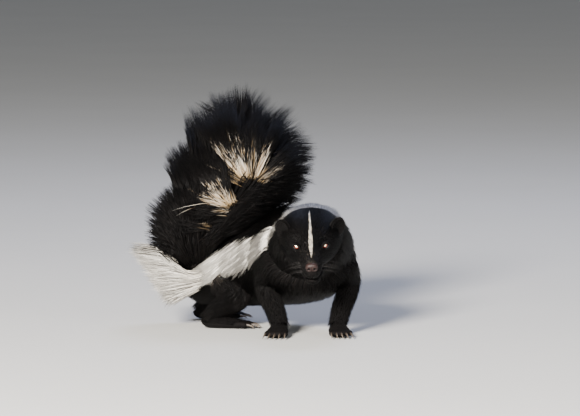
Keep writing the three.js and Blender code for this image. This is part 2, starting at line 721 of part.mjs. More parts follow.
for (const [name, side] of Object.entries(SIDES)) {
  addPiece(`eye_${name}`, (grow) => eye(side, grow), eyeGloss, []);
  addPiece(`ear_${name}`, (grow) => ear(side, grow), blackFur, []);
}
const ears = ["ear_left", "ear_right"];
addPiece("nose", nose, noseSkin, []);
addPiece("lower_jaw", jaw, blackFur, []);
addPiece("head", head, blackFur, ["eye_left", "eye_right", ...ears, "nose", "lower_jaw"]);
addPiece("neck", neck, whiteFur, ["head", "lower_jaw", ...ears]);
addPiece("torso_front", torsoFront, blackFur, ["neck", "head", "lower_jaw"]);
addPiece("torso_rear", torsoRear, blackFur, ["torso_front"]);
for (const [name, side] of Object.entries(SIDES)) {
  const foreleg = (grow) => leg(FORELEG_JOINTS[name], grow, 87 + side);
  const hindleg = (grow) => leg(HINDLEG_JOINTS[name], grow, 93 + side);
  const [forepaw, hindpaw] = [FOREPAWS[name], HINDPAWS[name]];
  addPiece(`foreleg_${name}`, foreleg, blackFur, ["torso_front", "torso_rear", "neck"]);
  addPiece(`forepaw_${name}`, (grow) => paw(forepaw, grow), pawSkin, [`foreleg_${name}`]);
  addPiece(`hindleg_${name}`, hindleg, blackFur, ["torso_front", "torso_rear"]);
  const above = [`hindleg_${name}`, "torso_rear"];
  addPiece(`hindpaw_${name}`, (grow) => paw(hindpaw, grow), pawSkin, above);
}
const trunkPieces = ["torso_front", "torso_rear", "neck", "head"];
const tailPieces = ["tail_base", "tail_middle", "tail_end"];
tailPieces.forEach((name, i) => {
  const meets = [...trunkPieces, ...tailPieces.slice(0, i)];
  addPiece(name, (grow) => tailLength(i, grow), blackFur, meets);
});

const grown = Object.fromEntries(pieces.map(({ name, form }) => [name, largest(form(GAP))]));
const skunk = new THREE.Group();
for (const { name, form, material, meets } of pieces) {
  const whole = form(0);
  const cut = meets.length ? whole.subtract(join(meets.map((other) => grown[other]))) : whole;
  skunk.add(meshOf(name, cut, material));
}

// The origin: on the floor, under the middle of the whole animal.
const box = new THREE.Box3().setFromObject(skunk);
skunk.position.set(-(box.min.x + box.max.x) / 2, -(box.min.y + box.max.y) / 2, -box.min.z);

export default skunk;
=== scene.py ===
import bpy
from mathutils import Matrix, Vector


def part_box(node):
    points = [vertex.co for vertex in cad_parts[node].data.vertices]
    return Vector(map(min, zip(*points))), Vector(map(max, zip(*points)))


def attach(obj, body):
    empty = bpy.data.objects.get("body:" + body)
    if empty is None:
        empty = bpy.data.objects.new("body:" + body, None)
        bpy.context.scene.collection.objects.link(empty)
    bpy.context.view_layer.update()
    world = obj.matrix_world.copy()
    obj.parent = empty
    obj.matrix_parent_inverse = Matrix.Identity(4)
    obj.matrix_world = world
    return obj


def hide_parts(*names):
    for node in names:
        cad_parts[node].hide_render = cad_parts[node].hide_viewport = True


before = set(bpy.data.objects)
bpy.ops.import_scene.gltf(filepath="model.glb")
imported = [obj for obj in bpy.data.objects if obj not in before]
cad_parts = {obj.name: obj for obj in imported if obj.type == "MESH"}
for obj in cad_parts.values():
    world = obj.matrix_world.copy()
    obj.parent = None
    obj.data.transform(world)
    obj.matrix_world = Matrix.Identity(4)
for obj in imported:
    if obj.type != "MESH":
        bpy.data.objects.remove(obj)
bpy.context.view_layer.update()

import math
from functools import partial

import bpy
import numpy as np
from mathutils import Vector

# Lengths are in millimetres and points are in the animal's own frame, on the floor, its left towards
# +X and its head towards -Y, until placed() turns them into metres in the part's frame. An angle round
# the trunk, the neck or the head starts at its top and is positive on the animal's right.

# Sizes
EYES_MIDDLE = np.array([82.0, -90.0, 117.0])
EYE_SPACING, EYE_RADIUS = 34.6, 4.7
EYE_STEP = (-1.5, 1.5)  # an eye's middle, ahead of the point between the eyes and above it
HEAD_PITCH, HEAD_ROLL = math.radians(25), math.radians(2.5)
EAR_PLACE = (34.5, -27.0, 11.0)  # to the side, ahead of the eyes and above them
EAR_SIZE = (10.0, 4.8, 11.5)
EAR_TURN = math.radians(32)
TRUNK_DEPTH, NECK_DEPTH, LEG_DEPTH, JAW_DEPTH = 11.0, 9.0, 4.0, 1.2  # from the coat's tips to the skin
TRUNK_PEAR = 0.1
CHEST_DOME, SEAT_DOME = 0.11, 0.1
BEND_SPAN = 0.05
COAT_SAG = 0.42
TAIL_FLARE = math.radians(62)
TAIL_ARCH = 0.2
TURN = 2 * math.pi
GOLDEN = 137.508 / 180 * math.pi
UP = np.array([0, 0, 1.0])

# x, y, top, bottom and half width of the coat
TRUNK_STATIONS = np.array([
    (81, -38, 128, 60, 42), (80, -8, 152, 44, 61), (76, 22, 157, 36, 67), (63, 58, 155, 30, 66),
    (38, 90, 147, 26, 64), (3, 108, 130, 24, 61), (-33, 112, 107, 24, 55), (-62, 107, 83, 28, 43),
    (-84, 102, 68, 38, 27)], float)
NECK_STATIONS = np.array([
    (83, -62, 156, 84, 38), (83, -46, 165, 78, 44), (83, -28, 166, 70, 49), (82, -8, 163, 62, 55),
    (80, 12, 156, 60, 57)], float)
# ahead of the eyes, half width, top and bottom against the eyes, outside the fur, from the front back
SKULL_STATIONS = np.array([
    (36, 3.5, -9, -20), (34, 6.5, -6, -22), (31, 10, -2, -26.5), (22, 13, 1.5, -28),
    (12, 15.5, 5.5, -28.5), (2, 20.5, 11, -30), (-9, 28, 19, -35), (-21, 35, 26, -39),
    (-34, 39.5, 30.5, -41), (-47, 40, 29.5, -40), (-58, 34, 22, -32)], float)
JAW_STATIONS = np.array([
    (28.5, 2.5, -30.2, -34.6), (27.5, 4.5, -29.4, -35.8), (24, 8, -28.4, -39.2), (14, 11, -27, -40.5),
    (2, 15, -26, -41), (-10, 19, -26, -41), (-18, 18, -28, -39)], float)
LIP_LINE = np.array([  # to the side, ahead of the eyes and above them
    (2, 31.5, -25.5), (8.5, 26, -27), (11.5, 15, -27.5), (14.5, 3, -26), (17.5, -6, -24)], float)
TAIL_BONE = np.array([
    (-64, 106, 74), (-70, 106, 102), (-58, 106, 130), (-35, 105, 152), (-12, 103, 174),
    (4, 100, 196), (12, 96, 220)], float)
# the outline of the spread plume seen from the front: angle from +X in degrees, and reach
PLUME_MIDDLE = np.array([-5.0, 101.0, 200.0])
PLUME_OUTLINE = np.array([
    (-40, 87), (-19, 94), (-3, 97), (11, 102), (28, 101), (42, 99), (51, 107), (60, 99), (72, 107),
    (90, 109), (104, 107), (122, 104), (136, 105), (151, 81), (164, 100), (176, 102), (189, 88), (199, 128),
    (208, 142), (216, 152), (225, 150), (241, 122), (260, 95), (274, 84)], float)
PLUME_FRONT, PLUME_BACK = 62.0, 78.0
# Where the tail's hair parts and its pale bases show: the parting's middle (x, z), and round it lobes
# of pale hair: from and to degrees right of upright, pale from and to so far from the middle, how
# white, and how many hairs
PARTINGS = [
    ((8, 178), [(-42, -27, 27, 70, 1.0, 620), (-31, -12, 20, 64, 0.95, 560), (-24, -12, 30, 71, 0.9, 360),
                (-10, 14, 8, 50, 0.45, 190), (17, 28, 14, 54, 0.95, 320), (38, 70, 10, 40, 0.34, 110),
                (-67, -50, 8, 54, 0.45, 150)]),
    ((-11, 149), [(-48, -36, 12, 53, 0.95, 400), (-38, -26, 12, 44, 0.95, 320), (-27, -13, 12, 32, 0.9, 220),
                  (-74, -46, 14, 54, 0.9, 560), (-100, -76, 8, 26, 0.4, 70)]),
    ((-34, 129), [(-104, -78, 2, 21, 0.2, 40)])]
# each joint's x, y, z, half width and half depth
FORELEGS = {
    1: [(124, 6, 92, 17, 25), (131, 24, 60, 15, 21), (121, 0, 32, 13, 14), (116, -12, 14, 12, 12)],
    -1: [(32, 6, 90, 17, 25), (25, 21, 59, 15, 20), (37, -6, 32, 13, 14), (43, -20, 14, 12, 12)]}
HINDLEGS = {
    1: [(-36, 145, 66, 27, 22), (-18, 158, 43, 22, 18), (-43, 163, 27, 14, 13), (-58, 165, 13, 11, 11)],
    -1: [(-30, 78, 64, 28, 22), (-8, 66, 42, 22, 18), (-32, 64, 26, 14, 13), (-46, 64, 13, 11, 11)]}
LIMBS = [FORELEGS[1], FORELEGS[-1], HINDLEGS[1], HINDLEGS[-1]]
# wrist or heel, heading in degrees, length and claw length
PAWS = [(116, -14, -84, 40, 16), (43, -22, -98, 40, 16), (-60, 165, 4, 62, 9), (-48, 64, -6, 62, 9)]
PAW_HALF, TOE_RADIUS = 14.0, 4.6
TOES = (-0.5, -0.25, 0.0, 0.25, 0.5)  # places across the paw
CLAW_BEND = 1.25  # radians from a claw's root to its tip


# Directions of the head


def turned(vector, axis, angle):
    """A vector turned about an axis: its parts along the axis, across it and square to both."""
    vector, axis = np.asarray(vector, float), np.asarray(axis, float)
    return (vector * math.cos(angle) + np.cross(axis, vector) * math.sin(angle)
            + axis * np.dot(axis, vector) * (1 - math.cos(angle)))


HEAD_SIDE, HEAD_FORWARD, HEAD_CROWN = (
    turned(turned(v, (1, 0, 0), HEAD_PITCH), (0, 1, 0), -HEAD_ROLL)
    for v in ((1, 0, 0), (0, -1, 0), (0, 0, 1)))


def on_head(side, forward, crown):
    """Points of the head: the place between the eyes plus steps to its left, ahead and upwards."""
    side, forward, crown = (np.asarray(v, float)[..., None] for v in (side, forward, crown))
    return EYES_MIDDLE + side * HEAD_SIDE + forward * HEAD_FORWARD + crown * HEAD_CROWN


def eye_middle(side):
    """The middle of the left eye (1) or the right one (-1), half the spacing aside, or between them (0)."""
    return on_head(side * EYE_SPACING / 2, *EYE_STEP)


# the part's frame against the animal's own: the eyes' boxes against the eyes' place here
eye_boxes = [np.array(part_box(name)).mean(axis=0) * 1000 for name in ("eye_left", "eye_right")]
SHIFT = np.mean(eye_boxes, axis=0) - eye_middle(0)


def placed(points):
    """Points in metres in the part's frame: shifted, then divided by a thousand."""
    return (points + SHIFT) / 1000


# Curves and surfaces


def unit(v):
    """Vectors divided by their lengths."""
    return v / np.maximum(np.linalg.norm(v, axis=-1, keepdims=True), 1e-9)


def circle(count):
    """Angles once round in equal steps."""
    return np.arange(count) / count * TURN


def spline(points, t):
    """A curve through points: cubic pieces whose slopes come from the neighbours, each weighed by the
    square root of its distance."""
    points = np.asarray(points, float)
    padded = np.vstack([2 * points[0] - points[1], points, 2 * points[-1] - points[-2]])
    place = np.clip(np.asarray(t, float), 0, 1) * (len(points) - 1)
    i = np.clip(place.astype(int), 0, len(points) - 2)
    w = (place - i)[..., None]
    p0, p1, p2, p3 = (padded[i + k] for k in range(4))
    d0, d1, d2 = (np.maximum(np.linalg.norm(b - a, axis=-1, keepdims=True) ** 0.5, 1e-3)
                  for a, b in ((p0, p1), (p1, p2), (p2, p3)))
    m1 = ((p1 - p0) / d0 - (p2 - p0) / (d0 + d1) + (p2 - p1) / d1) * d1
    m2 = ((p2 - p1) / d1 - (p3 - p1) / (d1 + d2) + (p3 - p2) / d2) * d1
    return p1 + w * (m1 + w * (3 * (p2 - p1) - 2 * m1 - m2 + w * (2 * (p1 - p2) + m1 + m2)))


def heading(points, t, span=1e-3):
    """The direction of a spline: the step between two near points of it."""
    t = np.clip(t, span, 1 - span)
    return unit(spline(points, t + span) - spline(points, t - span))


def bezier(controls, u):
    """Points of a Bezier curve at a share of it: its controls, weighed by the binomial terms."""
    order = len(controls) - 1
    return sum(math.comb(order, k) * u ** k * (1 - u) ** (order - k) * c for k, c in enumerate(controls))


def smooth(x, xs, ys):
    """A smooth line through the values ys at xs: cubic steps with slopes from the neighbours."""
    xs, ys = np.asarray(xs, float), np.asarray(ys, float)
    slopes = np.gradient(ys, xs)
    x = np.clip(x, xs[0], xs[-1])
    i = np.clip(np.searchsorted(xs, x, side="right") - 1, 0, len(xs) - 2)
    h = xs[i + 1] - xs[i]
    w = (x - xs[i]) / h
    return ((1 + 2 * w) * (1 - w) ** 2 * ys[i] + w * (1 - w) ** 2 * h * slopes[i]
            + w * w * (3 - 2 * w) * ys[i + 1] + w * w * (w - 1) * h * slopes[i + 1])


def ramp(x, low, high):
    """From 0 at low to 1 at high, easing in and out."""
    w = np.clip((np.asarray(x, float) - low) / (high - low), 0, 1)
    return w * w * (3 - 2 * w)


class Surface:
    """Upright ovals round a line, narrowed to domes at its ends and squeezed inside its bend."""

    def __init__(self, stations, domed):
        x, y, top, bottom, half = stations.T
        self.line = np.stack([x, y, (top + bottom) / 2], axis=1)
        self.sizes = np.stack([half, (top - bottom) / 2, half * 0], axis=1)
        self.domed = domed
        steps = spline(self.line, np.linspace(0, 1, 401))
        self.length = np.linalg.norm(np.diff(steps, axis=0), axis=1).sum()

    def level(self, t):
        """The line's heading without its rise."""
        way = heading(self.line, np.clip(t, 0, 1))
        way[..., 2] = 0
        return unit(way)

    def at(self, t, angle, out):
        """Points at shares of the line and angles, so far out of the coat's tips: the middle, plus the
        half width times the sine of the angle, plus the half height times its cosine. The width is
        less above the middle than below it, and nears the radius of the bend on its inner side."""
        t, angle, out = np.broadcast_arrays(*(np.asarray(v, float) for v in (t, angle, out)))
        inside = np.clip(t, 0, 1)
        way = self.level(inside)
        before, after = self.level(inside - BEND_SPAN), self.level(inside + BEND_SPAN)
        sine = before[..., 0] * after[..., 1] - before[..., 1] * after[..., 0]
        turning = np.maximum(0, sine) / (2 * BEND_SPAN * self.length)
        point = spline(self.line, inside) + way * ((t - inside) * self.length)[..., None]
        size = spline(self.sizes, inside)
        if self.domed:
            end = np.maximum(np.maximum(1 - inside / CHEST_DOME, 1 - (1 - inside) / SEAT_DOME), 0)
            size = size * np.sqrt(np.maximum(0.06, 1 - end ** 2))[..., None]
        wide = (size[..., 0] + out) * np.sin(angle) * (1 - TRUNK_PEAR * np.cos(angle))
        wide = wide / (1 + (np.maximum(0, wide) * turning) ** 4) ** 0.25
        across = np.stack([-way[..., 1], way[..., 0], way[..., 2] * 0], axis=-1)
        point = point + across * wide[..., None]
        point[..., 2] += (size[..., 1] + out) * np.cos(angle)
        return point


trunk = Surface(TRUNK_STATIONS, True)
neck = Surface(NECK_STATIONS, False)


def head_at(stations, forward, angle, out):
    """An oval of the head: the sine and cosine of the angle times its half width and height."""
    order = np.argsort(stations[:, 0])
    half, top, bottom = (smooth(forward, stations[order, 0], stations[order, k]) for k in (1, 2, 3))
    widest = bottom + 0.45 * (top - bottom)
    tall = np.where(np.cos(angle) > 0, top - widest, widest - bottom)
    return on_head((half + out) * np.sin(angle), forward, widest + (tall + out) * np.cos(angle))


def tail_radius(t):
    """The down round the bone: widest a little above its root."""
    return 17 + (12 - 17) * t + 22 * np.sin(np.pi * np.minimum(1, t + 0.08))


def plume_reach(x, z):
    """How far the plume's tips reach from its middle towards a place seen from the front."""
    angle = np.degrees(np.arctan2(z - PLUME_MIDDLE[2], x - PLUME_MIDDLE[0]))
    return np.interp(angle, PLUME_OUTLINE[:, 0], PLUME_OUTLINE[:, 1], period=360)


def plume_front(x, z):
    """The y of the plume's front at a place: a dome over the outline."""
    away = np.hypot(x - PLUME_MIDDLE[0], z - PLUME_MIDDLE[2]) / plume_reach(x, z)
    return PLUME_MIDDLE[1] - PLUME_FRONT * np.sqrt(np.clip(1 - away ** 2, 0, 1))


def plume_point(direction):
    """The tips' surface: the outline's reach across, and its own depth to the front and to the back."""
    reach = plume_reach(*(PLUME_MIDDLE[k] + direction[:, k] for k in (0, 2)))
    depth = np.where(direction[:, 1] < 0, PLUME_FRONT, PLUME_BACK) * np.interp(reach, [100, 150], [1, 0.75])
    return PLUME_MIDDLE + direction * np.stack([reach, depth, reach], axis=1)


def globe(count, turn):
    """Directions spread evenly: equal steps of height, each turned by the golden angle."""
    i = np.arange(count)
    height = 1 - (2 * i + 1) / count
    level = np.sqrt(1 - height ** 2)
    return np.stack([level * np.cos(i * GOLDEN + turn), level * np.sin(i * GOLDEN + turn), height], axis=1)


# Meshes


def staged(name, data):
    """A thing put into the scene."""
    thing = bpy.data.objects.new(name, data)
    bpy.context.scene.collection.objects.link(thing)
    return thing


def mesh_of(name, points, faces):
    """A mesh from an array of points, in millimetres, and an array of faces with equal corners."""
    faces = np.asarray(faces, np.int32)
    mesh = bpy.data.meshes.new(name)
    mesh.vertices.add(len(points))
    mesh.vertices.foreach_set("co", placed(points).astype(np.float32).ravel())
    mesh.loops.add(faces.size)
    mesh.loops.foreach_set("vertex_index", faces.ravel())
    mesh.polygons.add(len(faces))
    mesh.polygons.foreach_set("loop_start", np.arange(0, faces.size, faces.shape[1], dtype=np.int32))
    mesh.update(calc_edges=True)
    mesh.validate()
    mesh.shade_smooth()
    return mesh


def colour_points(mesh, name, *channels):
    """Three numbers for each point of a mesh, kept as a colour."""
    values = np.stack(np.broadcast_arrays(*channels, 1.0), axis=-1).astype(np.float32)
    mesh.attributes.new(name, "FLOAT_COLOR", "POINT").data.foreach_set("color", values.ravel())


def number_points(mesh, name, values):
    """One number for each point of a mesh."""
    mesh.attributes.new(name, "FLOAT", "POINT").data.foreach_set("value", np.asarray(values, np.float32))


def shown(name, mesh, material, slot, *nodes):
    """The mesh as a piece of the model, riding on the body and standing in for nodes."""
    piece = staged(name, mesh)
    mesh.materials.append(material)
    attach(piece, "root")
    if nodes:
        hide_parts(*nodes)


def closed_loft(rings, looped=False):
    """Points and triangles of a closed skin over rings (rings, points round, 3), which either has a
    cap of triangles round a middle point at both ends, or is looped, from the last ring to the first."""
    count, around = rings.shape[:2]
    r, k = np.meshgrid(np.arange(count - (not looped)), np.arange(around), indexing="ij")
    a, b = (r * around + k).ravel(), (r * around + (k + 1) % around).ravel()
    c, d = (a + around) % (count * around), (b + around) % (count * around)
    points, faces = rings.reshape(-1, 3), [np.stack([a, b, d], 1), np.stack([a, d, c], 1)]
    if not looped:
        points = np.concatenate([points, rings[:1].mean(axis=1), rings[-1:].mean(axis=1)])
        k, last = np.arange(around), (count - 1) * around
        faces += [np.stack([(k + 1) % around, k, k * 0 + count * around], 1),
                  np.stack([last + k, last + (k + 1) % around, k * 0 + count * around + 1], 1)]
    faces = np.concatenate(faces)
    tri = points[faces]
    if np.einsum("ij,ij->i", tri[:, 0], np.cross(tri[:, 1], tri[:, 2])).sum() < 0:
        faces = faces[:, ::-1]
    return points, faces


def bar(middles, across, up, width, height, around, looped=False):
    """A closed loft of ovals: each middle, plus the sine of the angle times the half width across and
    its cosine times the half height up."""
    angle = circle(around)[None, :, None]
    width, height = width[:, None, None], height[:, None, None]
    rings = middles[:, None] + np.sin(angle) * width * across + np.cos(angle) * height * up
    return closed_loft(rings, looped)


def joined(parts):
    """Several lots of points and faces as one: each lot's faces count on from the points before it."""
    starts = np.cumsum([0] + [len(points) for points, _ in parts[:-1]])
    return (np.concatenate([points for points, _ in parts]),
            np.concatenate([faces + start for (_, faces), start in zip(parts, starts)]))


def fused(name, parts, voxel, rounds):
    """Closed parts melted into one skin on a grid of cubes, then smoothed: points and triangles."""
    piece = staged(name, mesh_of(name, *joined(parts)))
    remesh = piece.modifiers.new("melt", "REMESH")
    remesh.mode, remesh.voxel_size = "VOXEL", voxel / 1000
    ease = piece.modifiers.new("ease", "SMOOTH")
    ease.factor, ease.iterations = 0.5, rounds
    piece.modifiers.new("tri", "TRIANGULATE")
    made = piece.evaluated_get(bpy.context.evaluated_depsgraph_get()).to_mesh()
    points = np.empty(len(made.vertices) * 3, np.float32)
    made.vertices.foreach_get("co", points)
    corners = np.empty(len(made.loops), np.int32)
    made.loops.foreach_get("vertex_index", corners)
    bpy.data.objects.remove(piece)
    return points.reshape(-1, 3).astype(float) * 1000 - SHIFT, corners.reshape(-1, 3)


def normals_of(points, faces):
    """The mean of the faces' directions at each point, weighed by their areas."""
    tri = points[faces]
    flat = np.cross(tri[:, 1] - tri[:, 0], tri[:, 2] - tri[:, 0])
    total = np.zeros_like(points)
    for k in range(3):
        np.add.at(total, faces[:, k], flat)
    return unit(total)


# Materials


class Nodes:
    """A material's nodes, added and linked by short calls. A value is a number, a colour or another
    node's output."""

    def __init__(self, name):
        self.material = bpy.data.materials.new(name)
        self.material.use_nodes = True
        self.tree = self.material.node_tree
        self.shader = self.tree.nodes["Principled BSDF"]

    def add(self, kind, inputs=None, **settings):
        """A node of a kind with its settings and inputs."""
        node = self.tree.nodes.new("ShaderNode" + kind)
        for key, value in settings.items():
            setattr(node, key, value)
        for key, value in (inputs or {}).items():
            self.give(node, key, value)
        return node

    def give(self, node, key, value):
        """A value for a node's input: a link where it is an output."""
        if isinstance(value, bpy.types.NodeSocket):
            self.tree.links.new(value, node.inputs[key])
        else:
            node.inputs[key].default_value = value

    def finish(self, **inputs):
        """The material, with values for its shader's inputs."""
        for key, value in inputs.items():
            self.give(self.shader, key.replace("_", " "), value)
        return self.material

    def texture(self, kind, output, **inputs):
        """A texture over the piece's own coordinates."""
        place = self.add("TexCoord").outputs["Object"]
        return self.add(kind, {"Vector": place, **inputs}).outputs[output]

    def noise(self, scale, detail=3.0):
        """A cloudy number, near a half."""
        return self.texture("TexNoise", "Fac", Scale=scale, Detail=detail)

    def number(self, name):
        """A number kept at the mesh's points."""
        return self.add("Attribute", attribute_name=name).outputs["Fac"]

    def numbers(self, name):
        """Three numbers kept at the mesh's points."""
        colour = self.add("Attribute", attribute_name=name).outputs["Color"]
        return self.add("SeparateColor", {0: colour}).outputs

    def scaled(self, value, low, high, to_low, to_high):
        """A number taken in a straight line from one range to another, and held at its ends."""
        return self.add("MapRange", {0: value, 1: low, 2: high, 3: to_low, 4: to_high}).outputs[0]

    def mix(self, share, first, second):
        """The first colour at share 0, the second at 1."""
        return self.add("Mix", {0: share, 6: first, 7: second}, data_type="RGBA").outputs[2]

    def reckon(self, operation, first, second):
        """One operation on two numbers."""
        return self.add("Math", {0: first, 1: second}, operation=operation).outputs[0]

    def bump(self, height, strength, distance):
        """Small heights as a slope of the surface."""
        return self.add("Bump", {"Height": height, "Strength": strength, "Distance": distance}).outputs[0]


BLACK_HAIR = (0.0026, 0.0024, 0.0026, 1)
BROWN_BLACK = (0.0075, 0.0057, 0.0051, 1)
WHITE_HAIR = (0.96, 0.925, 0.86, 1)
CREAM_HAIR = (0.80, 0.67, 0.48, 1)
# the brown of a pale hair's root: partly its own tint, partly painted shade deep in the coat
ROOT_TINT_AND_SHADE = (0.20, 0.115, 0.060, 1)
# a dull tan-grey given to some hairs by their draw: painted shade between strands
PAINTED_STRAND_SHADE = (0.40, 0.35, 0.28, 1)
GOLDEN_HAIR = (0.56, 0.37, 0.17, 1)
# the root of hair that turns black: painted shadow deep in the tail's parting
PARTING_SHADE = (0.075, 0.052, 0.024, 1)
BARE_SKIN = (0.006, 0.005, 0.005, 1)
UNENDING = 2.0  # the share of a hair past which it is black, for one that is white to its tip


def fur_colour(nodes):
    """The coat's colour from its numbers: how white, how far along the hair, a draw, and the share at
    which a pale hair turns black. Pale hair is brown at its root, partly its own tint and partly
    painted shade deep in the coat, then cream, then white. Some draws give it a dull tan-grey, which
    is painted shade between strands, and where it turns black it is a dark greenish brown at its root,
    painted shadow in the tail's parting, and then golden."""
    white, along, draw = nodes.numbers("coat")
    end = nodes.number("pale_end")
    before = nodes.scaled(nodes.reckon("SUBTRACT", along, end), -0.05, 0.05, 1.0, 0.0)
    white = nodes.reckon("MULTIPLY", white, before)
    dark = nodes.mix(nodes.reckon("MULTIPLY", draw, nodes.noise(60.0)), BLACK_HAIR, BROWN_BLACK)
    risen = nodes.reckon("DIVIDE", along, nodes.reckon("MINIMUM", end, 1.0))
    light = nodes.mix(nodes.scaled(draw, 0.0, 1.0, 0.15, 0.75), CREAM_HAIR, WHITE_HAIR)
    # brown near the root: partly the hair's own tint, partly painted shade deep in the coat
    light = nodes.mix(nodes.scaled(risen, 0.12, 0.5, 0.0, 1.0), ROOT_TINT_AND_SHADE, light)
    light = nodes.mix(nodes.scaled(risen, 0.5, 0.85, 0.0, 0.85), light, WHITE_HAIR)
    # some draws turn pale hair a dull tan-grey: painted shade between strands
    light = nodes.mix(nodes.scaled(draw, 0.62, 1.0, 0.0, 0.75), light, PAINTED_STRAND_SHADE)
    parted = nodes.scaled(end, 0.95, 1.1, 1.0, 0.0)
    golden = nodes.scaled(nodes.reckon("SUBTRACT", risen, draw), -0.1, 0.95, 0.95, 0.15)
    light = nodes.mix(nodes.reckon("MULTIPLY", parted, golden), light, GOLDEN_HAIR)
    # dark greenish brown near the root of hair that turns black: painted shadow deep in the parting
    parting_shade = nodes.scaled(risen, 0.2, 0.5, 0.9, 0.0)
    light = nodes.mix(nodes.reckon("MULTIPLY", parted, parting_shade), light, PARTING_SHADE)
    return nodes.mix(white, dark, light)


def hair_material():
    """The coat: its colour, with fine streaks in its gloss and height."""
    nodes = Nodes("skunk_hair")
    streaks = nodes.noise(900.0, 2.0)
    return nodes.finish(
        Base_Color=fur_colour(nodes), Specular_IOR_Level=0.12,
        Roughness=nodes.scaled(streaks, 0.3, 0.7, 0.42, 0.60), Normal=nodes.bump(streaks, 0.25, 0.0004))


def skin_material():
    """The skin: the coat's colour, broken by dark grain."""
    nodes = Nodes("skunk_skin")
    grain = nodes.noise(1400.0, 4.0)
    return nodes.finish(
        Base_Color=nodes.mix(nodes.scaled(grain, 0.35, 0.65, 0.1, 0.6), fur_colour(nodes), BARE_SKIN),
        Specular_IOR_Level=0.06, Roughness=nodes.scaled(grain, 0.3, 0.7, 0.6, 0.85),
        Normal=nodes.bump(grain, 0.5, 0.0006))


def nose_material():
    """The nose pad: brown pebbles, with painted shade in the nostrils."""
    nodes = Nodes("nose_pad")
    pebbles = nodes.texture("TexVoronoi", "Distance", Scale=1500.0)
    tint = nodes.mix(nodes.noise(350.0), (0.026, 0.011, 0.009, 1), (0.011, 0.0056, 0.0048, 1))
    return nodes.finish(
        # near black where the nostrils are pushed in: painted shade
        Base_Color=nodes.mix(nodes.number("hollow"), tint, (0.006, 0.004, 0.004, 1)),
        Specular_IOR_Level=0.3, Roughness=nodes.scaled(pebbles, 0.0, 0.6, 0.36, 0.55),
        Normal=nodes.bump(pebbles, 0.55, 0.0003))


def eye_material():
    """Dark glass with painted eyeshine: a pale metallic spot in its middle that throws the lamps back, and a
    red rim round it.
    """
    nodes = Nodes("eye_gloss")
    painted_glint, rim, _ = nodes.numbers("painted_eyeshine")
    dark = nodes.mix(nodes.noise(220.0), (0.004, 0.003, 0.003, 1), (0.010, 0.005, 0.004, 1))
    # the red rim and the pale metallic spot, set round the camera's line of sight, are painted eyeshine
    dark_with_painted_rim = nodes.mix(rim, dark, (0.24, 0.026, 0.010, 1))
    return nodes.finish(
        Base_Color=nodes.mix(painted_glint, dark_with_painted_rim, (1.0, 0.90, 0.62, 1)), Metallic=painted_glint, Specular_IOR_Level=0.25,
        Roughness=nodes.mix(painted_glint, (0.1, 0.1, 0.1, 1), (0.34, 0.34, 0.34, 1)),
        Coat_Weight=0.15, Coat_Roughness=0.03)


def claw_material():
    """Claw horn: dark at its root, paler to its tip, with cloudy growth."""
    nodes = Nodes("claw_horn")
    growth = nodes.noise(700.0)
    horn = nodes.mix(nodes.number("along"), (0.030, 0.022, 0.018, 1), (0.20, 0.155, 0.115, 1))
    return nodes.finish(
        Base_Color=nodes.mix(nodes.scaled(growth, 0.3, 0.7, 0.0, 0.4), horn, (0.012, 0.009, 0.008, 1)),
        Roughness=nodes.scaled(growth, 0.3, 0.7, 0.28, 0.5), Normal=nodes.bump(growth, 0.3, 0.0003))


def cloudy_material(name, scale, dark, pale, gloss_scale, smoothest, roughest):
    """A plain finish: two tones and two roughnesses, each in clouds of its own scale."""
    nodes = Nodes(name)
    return nodes.finish(
        Base_Color=nodes.mix(nodes.noise(scale), dark, pale),
        Roughness=nodes.scaled(nodes.noise(gloss_scale), 0.3, 0.7, smoothest, roughest))


HAIR, SKIN, NOSE, EYE, CLAW = (make() for make in (
    hair_material, skin_material, nose_material, eye_material, claw_material))
WHISKER = cloudy_material(
    "whisker_horn", 300.0, (0.006, 0.005, 0.005, 1), (0.016, 0.013, 0.012, 1), 500.0, 0.3, 0.45)


# The coat

SHEETS = {  # the part of the bake map that each part's unwrap takes: left, bottom, width, height
    "trunk_black": (0.01, 0.51, 0.38, 0.48), "trunk_white": (0.41, 0.51, 0.28, 0.48),
    "tail_black": (0.01, 0.01, 0.30, 0.48), "tail_pale": (0.33, 0.01, 0.16, 0.48),
    "head": (0.71, 0.68, 0.28, 0.31), "neck": (0.71, 0.36, 0.28, 0.30),
    "legs": (0.51, 0.01, 0.48, 0.33), "ears": (0.51, 0.36, 0.18, 0.13)}
PATCH = 0.003
MOST_TRIANGLES = 190000
LONG, SHORT = (0.0, 0.34, 0.68), (0.0, 0.4)  # the shares of a hair at which it has a ring of points
THICKNESS = 0.45  # of a tuft against its half width
EVEN_STEPS = np.array([0.7548776662, 0.5698402910])
coat_roots, coat_marks = [], []
rng = np.random.default_rng(41)


def spread(count, seed):
    """Pairs from 0 to 1 that fill a square evenly: multiples of two fixed shares, wrapped round."""
    return (0.5 + (np.arange(count)[:, None] + seed * 0.37) * EVEN_STEPS) % 1.0


def scatter(count, size):
    """Small random steps in all directions."""
    return rng.normal(0, size, (count, 3))


